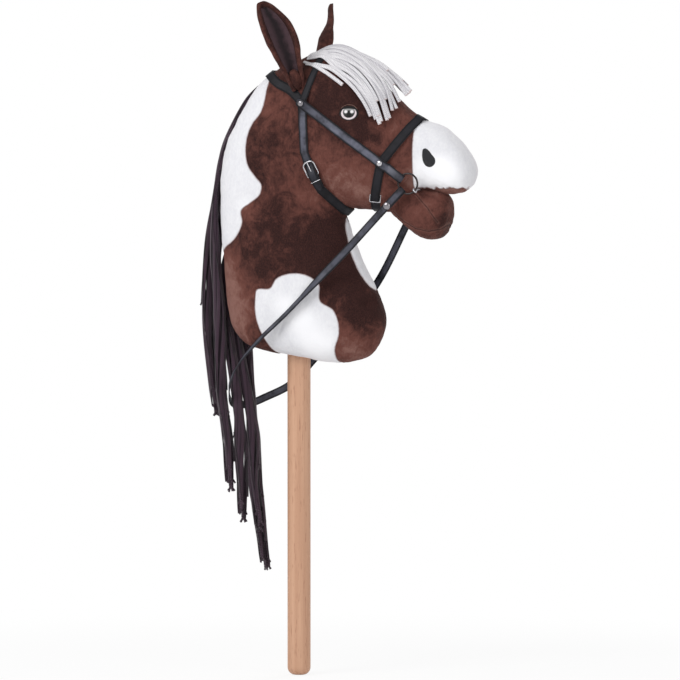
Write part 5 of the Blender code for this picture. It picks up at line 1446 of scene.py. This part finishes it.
# Rotation about one axis as a matrix
def turnAbout(axis, degrees):
    c, s = math.cos(math.radians(degrees)), math.sin(math.radians(degrees))
    i, j = {"x": (1, 2), "y": (2, 0), "z": (0, 1)}[axis]
    matrix = np.eye(3)
    matrix[i, i] = matrix[j, j] = c
    matrix[i, j], matrix[j, i] = -s, s
    return matrix


# An ear's turns as one matrix, and the place of its root
def earPose(side):
    sign, (out, back, spin) = sideSigns[side], ears["poses"][side]
    pose = turnAbout("x", -sign * out) @ turnAbout("y", -back) @ turnAbout("z", sign * spin)
    return pose, np.array(ears["root"]) * (1, sign, 1) + (0, 0, neckBase)


# A leaf curled into a cup: at each height an arc, at a distance in or out from the middle of the cloth
def earGrid(side, turns, inset, rows, first, last):
    smooth = curve(np.array(ears[side]), 8)
    along = np.linspace(first, last, rows)
    half, curl, lean, shift = (np.interp(along, smooth[:, 0], smooth[:, k])[:, None] for k in (1, 2, 3, 4))
    curl = np.radians(curl)
    inner = half * ears["width"] / 2 / curl - inset
    turn = curl * turns
    height = np.repeat(along[:, None] * ears["length"][side], len(turns), 1)
    grid = [-lean - inner * np.cos(turn), inner * np.sin(turn) + sideSigns[side] * shift, height]
    pose, root = earPose(side)
    return np.stack(grid, -1) @ pose.T + root, half * ears["width"] / 2


# Cloth of some thickness: an outer and an inner sheet joined by a rolled rim, half a circle across, and a
# stuffed root turned about the ear's own axis
def makeEar(side):
    rows, columns = 56, 48
    turns = np.sin(np.linspace(-math.pi / 2, math.pi / 2, columns))
    sheet, reach = earGrid(side, turns, 0.0, rows, ears[side][0][0], 1.0)
    normal = unit(np.cross(np.gradient(sheet, axis=1), np.gradient(sheet, axis=0)))
    fromEdge = (1 - np.abs(turns)) * reach
    rim, cloth = np.minimum(ears["rim"], reach * 0.55), ears["thickness"] / 2
    roll = rim * np.sqrt(1 - (1 - np.clip(fromEdge / rim, 0, 1)) ** 2)
    body = cloth + (rim - cloth) * np.exp(-(((fromEdge - rim) / (2.6 * mm)) ** 2))
    tip = np.sqrt(1 - np.clip(1 - (1 - np.linspace(0, 1, rows)) / 0.04, 0, 0.97) ** 2)[:, None]
    swell = np.where(fromEdge < rim, roll, body) * tip * (1 + 0.10 * ripple(sheet, 22 * mm, 4))
    raised = normal * swell[..., None]
    grid = np.concatenate([sheet + raised, (sheet - raised)[:, ::-1]], 1)
    light = 0.12 + 0.16 * np.exp(-((fromEdge / (4 * mm)) ** 2))
    pose, root = earPose(side)
    stuffed = turnedGrid(np.array(ears["plug"]) * mm, root, pose[:, 2])
    points, faces = gathered([(grid, False), (stuffed, False)])
    tone = np.r_[np.concatenate([light, light[:, ::-1]], 1).ravel(), np.full(stuffed[..., 0].size, 0.2)]
    fields = {"tone": tone, "white": np.full(len(tone), -1.0), "seam": np.ones(len(tone))}
    ear = makePiece(f"ear_{side}", points, plush, "brown_plush", faces, fields)
    share, gap = np.linspace(-1, 1, 28), ears["liningGap"]
    inside, nearer = (
        earGrid(side, share * ears["liningShare"], cloth + rise, 32, *ears["liningReach"])[0]
        for rise in (gap, gap + ears["liningPad"])
    )
    face = inside + (nearer - inside) * (np.sin(np.linspace(0, math.pi, 28)) ** 0.4)[None, :, None]
    grid = np.concatenate([face, inside[:, ::-1]], 1)
    makeStrands(f"ear_lining_{side}", grid[None], lining, "dark_lining", np.r_[share, share[::-1]])
    return ear


earPieces = [makeEar(side) for side in sideSigns]
print("ears made")


embroidery = {
    "eye": {"centre": (0.082, 0.3125), "halfWidth": 12.4 * mm, "halfHeight": 9.3 * mm, "rise": 0.8 * mm},
    "nostril": {
        "centre": (0.1872, 0.2550), "rise": 0.9 * mm,
        "outline": (
            (-9.1, 6.8), (-8.2, 11.2), (-5, 12.4), (-1, 10.3), (4.2, 4.4), (8.7, -1.2), (9.1, -5.6),
            (6.1, -10), (0.9, -11.8), (-4.3, -10), (-7.6, -5.6), (-9.1, 0.6),
        ),
    },
    "lid": {"thread": 0.9 * mm, "rise": 1.7 * mm, "arc": (22, 152), "steps": 40},  # arc in degrees
}


# Side-view places dropped on the plush from one side, with the plush's direction there
def droppedOn(skin, spots, sign):
    hits = [skin.ray_cast(Vector((x, sign * 0.2, z)), Vector((0, -sign, 0))) for x, z in spots]
    return np.array([hit[0] for hit in hits]), np.array([hit[1] for hit in hits])


# A patch of stitches: rings shrunk from an outline to its middle, dropped on the plush and domed over it
def makePatch(kind, side, outline, skin, finish):
    share = np.array([1.0, 1.0, 0.985, 0.94, 0.85, 0.72, 0.56, 0.38, 0.2, 0.03])
    lift = np.array([-0.8, 0.1, 0.55, 0.85, 0.95, 1.0, 1.02, 1.04, 1.05, 1.05]) * embroidery[kind]["rise"]
    flat = outline[None] * share[:, None, None]
    spots = (flat + np.array(embroidery[kind]["centre"]) + (0, neckBase)).reshape(-1, 2)
    points, normals = droppedOn(skin, spots, sideSigns[side])
    points = points.reshape(*flat.shape[:2], 3) + unit(normals.mean(0)) * lift[:, None, None]
    cloth = np.column_stack([flat.reshape(-1, 2), np.zeros(len(spots))])
    makePiece(f"{kind}_{side}", points, finish, "embroidery", fields={"cloth": cloth})


# A thin stitched thread in an arc over the eye
def makeLid(side, skin):
    sign, eye, lid = sideSigns[side], embroidery["eye"], embroidery["lid"]
    turn = np.radians(np.linspace(*lid["arc"], lid["steps"]))
    flat = np.column_stack([(eye["halfWidth"] + lid["rise"] * 0.4) * np.cos(turn) * 0.92,
                            (eye["halfHeight"] + lid["rise"]) * np.sin(turn)])
    points, normals = droppedOn(skin, flat + np.array(eye["centre"]) + (0, neckBase), sign)
    path = points + normals * 0.25 * mm
    path = np.column_stack([np.convolve(np.pad(part, 3, "edge"), np.ones(7) / 7, "valid") for part in path.T])
    size = np.interp(np.linspace(0, 1, lid["steps"]), (0, 0.15, 0.85, 1), (0.4, 1, 1, 0.4))
    size = lid["thread"] * size
    grid = carried(path, np.array((0.0, float(sign), 0.0)), oval(1, 0.8, 10)[None] * size[:, None, None])
    makeStrands(f"eyelid_{side}", grid[None], lidThread, "embroidery", oval(2, 1, 10)[:, 0])


coverSkin = skinOf([cover.data])
around, eye = np.linspace(0, 2 * math.pi, 72, endpoint=False), embroidery["eye"]
eyeOutline = np.column_stack([
    eye["halfWidth"] * np.cos(around) * (1 + 0.03 * np.cos(around)),
    eye["halfHeight"] * np.sin(around) * (1 + 0.02 * np.abs(np.cos(around))),
])
nostrilOutline = curve(np.array(embroidery["nostril"]["outline"]) * mm, 6, closed=True)
for side in sideSigns:
    makePatch("eye", side, eyeOutline, coverSkin, eyeThread)
    makeLid(side, coverSkin)
    makePatch("nostril", side, nostrilOutline, coverSkin, nostrilThread)
print("eyes and nostrils made")


forelock = {
    "width": 5.0 * mm, "thick": 2.2 * mm, "layer": 1.7 * mm, "rows": 46, "seed": 6, "sunk": 2.6 * mm,
    "sway": 0.8 * mm, "clear": 0.4 * mm, "tilt": 0.22,
    "fan": 17, "over": 13,  # strands of the two layers
    # lines of the fan, from the one that frames the brow over to the other side, and a lone strand under them
    "guides": (
        ((18, -24, 376), (49, -30, 370), (80, -40, 353), (106, -45, 322), (119, -46, 292)),
        ((18, -15, 384), (45, -18, 388), (85, -26, 374), (118, -36, 340), (134, -41, 300)),
        ((20, -5, 390), (45, -6, 399), (88, -10, 386), (125, -18, 358), (146, -24, 322)),
        ((20, 5, 391), (45, 6, 401), (90, 4, 389), (128, 0, 368), (158, -6, 344)),
        ((20, 14, 386), (42, 20, 394), (80, 22, 384), (115, 20, 362), (140, 18, 342)),
    ),
    "lone": ((14, -23, 380), (30, -28, 374), (48, -33, 365), (72, -39, 350)),
}


# Places across the fan at root, gap, middle and end of each strand, its reach, and its layer: even, but for
# the gap between the first strands and the next ones near the root
def forelockPlan(chance):
    under, over = (np.linspace(0, 4, forelock[key]) for key in ("fan", "over"))
    place = np.r_[under, over + 0.12 * chance.normal(size=len(over))].clip(0, 4)
    layer = np.r_[np.zeros(len(under)), np.ones(len(over))]
    root = np.where(place < 0.25, 0.3 * place, np.maximum(place, 0.70))
    gap = np.where(place < 0.25, 0.3 * place, np.maximum(place, 0.75))
    middle = place + 0.06 * chance.normal(size=len(place))
    end = place + (0.06 + 0.26 * layer) * chance.normal(size=len(place))
    reach = chance.uniform(0.90, 1.0, len(place)) - 0.10 * layer * chance.uniform(0, 1, len(place))
    reach[::3] -= chance.uniform(0.06, 0.16, len(reach[::3]))
    return np.column_stack([root, gap, middle, end]).clip(0, 4), reach, layer


# Points kept at least this far from a skin, each moved out along the skin's own direction
def keptOff(skin, points, need, rounds=3):
    flat = points.reshape(-1, 3)
    need = np.broadcast_to(need, points.shape[:-1]).ravel()
    for _ in range(rounds):
        above, away = overSkin(skin, flat, 0.05, 1.0)
        flat = flat + away * np.clip(need - above, 0, None)[:, None]
    return flat.reshape(points.shape)


# Each point of a line, or of several, drawn to its neighbours
def softened(path):
    path[..., 1:-1, :] = (path[..., :-2, :] + 2 * path[..., 1:-1, :] + path[..., 2:, :]) / 4
    return path


# Flat white cords that fan over the brow: each follows the sheet between the guides, in one of two layers
def makeForelock(skin):
    rows = forelock["rows"]
    t = np.linspace(0, 1, 41)
    guides = np.array([
        readAt(t, np.linspace(0, 1, len(line)), line)
        for line in (even(curve(places(guide), 8), 1 * mm) for guide in forelock["guides"])
    ])
    fan = curve(guides.reshape(len(guides), -1), 10).reshape(-1, 41, 3)
    outward = unit(np.cross(np.gradient(fan, axis=0), np.gradient(fan, axis=1)))
    outward = outward if outward[..., 2].mean() > 0 else -outward
    chance = np.random.default_rng(forelock["seed"])
    stations, reach, layer = forelockPlan(chance)
    share = np.linspace(0, 1, rows) * reach[:, None]
    across = np.array([np.interp(s, (0, 0.13, 0.27, 1), one) for s, one in zip(share, stations)]) * 10
    at = share * 40
    low, left = np.floor(at).astype(int).clip(0, 39), np.floor(across).astype(int).clip(0, len(fan) - 2)
    a, b = (across - left)[..., None], (at - low)[..., None]

    def read(field):
        return (
            field[left, low] * (1 - a) * (1 - b) + field[left + 1, low] * a * (1 - b)
            + field[left, low + 1] * (1 - a) * b + field[left + 1, low + 1] * a * b
        )

    lone = even(curve(places(forelock["lone"]), 16), 1 * mm)
    lone = readAt(np.linspace(0, 1, rows), np.linspace(0, 1, len(lone)), lone)
    path = np.concatenate([read(fan), lone[None]])
    loneFacing = np.broadcast_to(unit(np.array((0.1, -0.8, 0.6))), (1, rows, 3))
    facing = np.concatenate([unit(read(outward)), loneFacing])
    sway = ripple(path + chance.uniform(-1, 1, (len(path), 1, 3)), 60 * mm, 2)[..., None] * forelock["sway"]
    lift = np.r_[layer, 0.5] * forelock["layer"] - forelock["sunk"]
    path = path + facing * (lift[:, None, None] + sway)
    path = softened(keptOff(skin, path, forelock["thick"] / 2 + forelock["clear"]))
    tilt = ripple(path, 90 * mm, 9)[..., None] * forelock["tilt"]
    facing = unit(facing + np.cross(facing, unit(np.gradient(path, axis=1))) * tilt)
    section = oval(forelock["width"], forelock["thick"], 12, 0.75)
    narrow = np.interp(np.linspace(0, 1, rows), (0, 0.3), (0.7, 1))[None, :, None, None]
    grid = carried(path, facing, np.broadcast_to(section * narrow, (len(path), rows, *section.shape)))
    makeStrands("forelock", grid, paleCord, "forelock_cord", section[:, 0] / forelock["width"] * 2, sharp=60)


mane = {
    "radius": 6.4 * mm, "gap": 0.4 * mm, "width": 5.8 * mm, "thick": 1.9 * mm, "step": 6 * mm,
    "clear": 0.3 * mm, "inset": 1.7 * mm, "seed": 20,
    # the knot near a cord's end, as its cord and its three half sizes, and each tail, as its section, how far
    # it leans out and how long it is
    "knot": 1.9 * mm, "knotSize": (0.72 * mm, 0.72 * mm, 1.0 * mm),
    "tail": (2.6 * mm, 1.2 * mm), "tailLean": (0.45, 0.8), "tailLength": (4.5 * mm, 7 * mm),
    "taper": ((0, 0.10, 0.28, 0.75, 0.93, 1), (0.42, 0.62, 1, 1, 0.85, 0.7)),
    # heights over the neck's base, and how much wider than deep the locks lie there
    "spread": ((-0.40, -0.11, -0.085, -0.02, 0.04, 0.20), (1.5, 1.6, 1.1, 1.2, 1.5, 1.0)),
    # how much shorter than its lock each cord is, and where it starts
    "short": (0.035, 0.06, 0.17, 0.10, 0.26, 0.05, 0.34, 0.035, 0.48, 0.06, 0.17, 0.11, 0.26),
    "late": (0.0, 0.0, 0.02, 0.03, 0.01, 0.04, 0.02, 0.03, 0.01, 0.02, 0.0, 0.03, 0.02),
}
maneRoutes = {
    "mane_outer_1": (
        (-44, 5, 356), (-62, 6, 344), (-84, 8, 312), (-104, 8, 262), (-114, 6, 205), (-123, 4, 150),
        (-127, 2, 90), (-126, 2, 30), (-120, 2, -30), (-116, 2, -66), (-112, 2, -92),
    ),
    "mane_outer_2": (
        (-92, 22, 290), (-106, 22, 240), (-113, 21, 190), (-121, 20, 130), (-120, 18, 70), (-116, 17, 10),
        (-110, 16, -40), (-109, 16, -92),
    ),
    "mane_outer_3": (
        (-111, -8, 240), (-113, -9, 190), (-112, -10, 130), (-106, -10, 60), (-103, -8, -62), (-95, -8, -110),
        (-92, -6, -170), (-91, -6, -189),
    ),
    "mane_inner_1": (
        (-109, 5, 130), (-105, 5, 60), (-94, 1, 0), (-83, -4, -62), (-80, -2, -110), (-77, -2, -170),
        (-76, -2, -227),
    ),
    "mane_inner_2": (
        (-108, 19, 120), (-101, 19, 60), (-86, 11, 0), (-70, 3, -62), (-64, 3, -110), (-62, 2, -170),
        (-55, 3, -220), (-53, 3, -241),
    ),
    "mane_inner_3": (
        (-100, 33, 128), (-89, 32, 60), (-80, 25, 0), (-72, 17, -62), (-68, 17, -110), (-65, 16, -170),
        (-58, 15, -225), (-47, 10, -292),
    ),
}


# A lock of flat cords that wind slowly round its line, each knotted near its end with two splayed tails
def makeLock(name, route, skin, seed):
    chance = np.random.default_rng(seed)
    line = even(curve(places(route), 8), mane["step"])
    share = np.linspace(0, 1, len(line))
    size = np.interp(share, *mane["taper"])
    line = keptOff(skin, line, mane["radius"] * size + mane["gap"], 6)
    for _ in range(3):
        line = softened(line)
    count, rows = len(mane["short"]), 72
    turn = np.r_[0, np.arange(count - 1) * 2 * math.pi / (count - 1)] + chance.uniform(-0.2, 0.2, count)
    spread = np.r_[0.12, np.ones(count - 1)] * (mane["radius"] - mane["inset"])
    reach, start = 1 - np.array(mane["short"]), np.array(mane["late"])
    t = start[:, None] + (reach - start)[:, None] * np.linspace(0, 1, rows)
    path = np.stack([np.stack([np.interp(one, share, part) for part in line.T], -1) for one in t])
    scale = np.interp(t, share, size)
    wide = np.interp(path[..., 2] - neckBase, *mane["spread"])
    wind = turn[:, None] + 1.6 * t * chance.uniform(0.5, 1.2) + 0.5 * np.sin(t * 9 + turn[:, None] * 2)
    run = unit(np.gradient(path, axis=1))
    sideways = unit(np.cross(run, (0.0, 1.0, 0.0)))
    other = np.cross(run, sideways)
    out = np.cos(wind)[..., None] * sideways + np.sin(wind)[..., None] * other
    far = out + np.cos(wind)[..., None] * (wide[..., None] - 1) * sideways
    path = path + far * (spread[:, None] * scale)[..., None]
    path = keptOff(skin, path, mane["thick"] / 2 + mane["clear"], 2)
    path[..., 0] += 5 * mm * np.clip(1 - (t - start[:, None]) / 0.08, 0, 1) ** 2
    path = softened(path)
    facing = unit(out + 0.5 * np.sin(t * 14 + turn[:, None] * 3)[..., None] * np.cross(run, out))
    section = oval(mane["width"], mane["thick"], 10, 0.8)
    narrow = np.interp(t - start[:, None], (0, 0.06, 0.2), (0.45, 0.75, 1))[..., None, None]
    grids = carried(path, facing, section * narrow)
    pieces = [(grid, section[:, 0] / mane["width"] * 2) for grid in grids]
    knotSection, tailSection = oval(mane["knot"], mane["knot"], 8), oval(*mane["tail"], 8)
    angle = np.linspace(0, 2 * math.pi, 26)
    trefoil = np.column_stack([
        np.sin(angle) + 2 * np.sin(2 * angle), np.cos(angle) - 2 * np.cos(2 * angle), -np.sin(3 * angle)
    ]) * mane["knotSize"]
    for k in range(count):
        end, down = path[k, -1], unit(path[k, -1] - path[k, -4])
        sideway, front = facing[k, -1], unit(np.cross(down, facing[k, -1]))
        if k % 3 != 2:
            knot = end + trefoil[:, :1] * front + trefoil[:, 1:2] * down + trefoil[:, 2:] * sideway
            pieces.append((carried(knot, sideway, knotSection), knotSection[:, 0] / mm))
            for lean in (-1, 1):
                way = down * 0.75 + front * lean * chance.uniform(*mane["tailLean"])
                way = unit(way + sideway * chance.uniform(-0.3, 0.3))
                s = np.linspace(0, 1, 8)[:, None]
                tail = end + way * s * chance.uniform(*mane["tailLength"]) + down * s**2 * 1.5 * mm
                wide = tailSection[None] * np.linspace(0.8, 1.25, 8)[:, None, None]
                pieces.append((carried(tail, sideway, wide), tailSection[:, 0] / mane["tail"][0] * 2))
    points, faces = gathered([(grid, False) for grid, _ in pieces])
    cloth = np.vstack([clothOf(grid, across) for grid, across in pieces])
    makePiece(name, points, maneCord, "mane_cord", faces, {"cloth": cloth}, sharp=60)


hairRest = skinOf([cover.data, jaw.data, reinPiece.data] + [piece.data for piece in strapPieces.values()])
makeForelock(
    skinOf([cover.data] + [strapPieces[name].data for name in ("browband", "crownpiece", "noseband")]
           + [ear.data for ear in earPieces])
)
for seed, (name, route) in enumerate(maneRoutes.items(), mane["seed"]):
    makeLock(name, route, hairRest, seed)
print("forelock and mane made")


studio = {
    "world": 0.62,
    "shown": 1.0,
    "floorShare": 0.84,  # how much of the floor by the pole shows as plain white; the rest keeps the shadow
    "floorFade": (0.35, 1.1),  # and how far out it turns all white
    "lamps": (  # place, size, power
        ((-0.9, -1.9, 1.9), 1.4, 30),
        ((1.7, -1.5, 1.2), 1.4, 8),
        ((0.3, 1.6, 2.0), 1.3, 10),
    ),
    "aim": (0.03, 0, 0.55),
}


# A wide pale floor that keeps the shadow and otherwise shows as white to the camera and in reflections
def makeFloor():
    side = np.linspace(-12.0, 12.0, 8)
    grid = np.stack(np.broadcast_arrays(side[:, None], side[None], 0.0), -1)
    mesh = bpy.data.meshes.new("floor")
    mesh.from_pydata(grid.reshape(-1, 3).tolist(), [], gridFaces(grid, around=False))
    finish = Finish("paleFloor", Roughness=0.9, Specular_IOR_Level=0.0)
    finish.shader.inputs["Base Color"].default_value = (0.86, 0.86, 0.86, 1)
    far = finish.add("ShaderNodeVectorMath", {"operation": "LENGTH"}, [finish.place()], output="Value")
    share = far.between(*studio["floorFade"]) * (1 - studio["floorShare"]) + studio["floorShare"]
    seen = finish.rays(("Camera", "Glossy", "Transmission"), "ADD") * share
    finish.show(seen, Term(finish, finish.shader.outputs[0]), finish.glow("Emission", studio["shown"]))
    mesh.materials.append(finish.material)
    placed("floor", mesh)


# Soft light from everywhere, and pure white where the camera, or a ray passing through something clear, sees
# past the floor
def makeWorld():
    world = bpy.data.worlds.new("studio")
    bpy.context.scene.world = world
    world.use_nodes = True
    board = Board(world.node_tree)
    lit, shown = (board.glow("Background", studio[name]) for name in ("world", "shown"))
    board.show(board.rays(("Camera", "Transmission"), "MAXIMUM"), lit, shown)


# Round lamps that face one place
def makeLamps():
    for number, (place, size, power) in enumerate(studio["lamps"]):
        light = bpy.data.lights.new(f"lamp{number}", "AREA")
        light.shape, light.size, light.energy = "DISK", size, power
        lamp = placed(f"lamp{number}", light)
        lamp.location = place
        lamp.rotation_euler = (Vector(studio["aim"]) - Vector(place)).to_track_quat("-Z", "Y").to_euler()


makeFloor()
makeWorld()
makeLamps()
bpy.context.scene.view_settings.view_transform = "Standard"
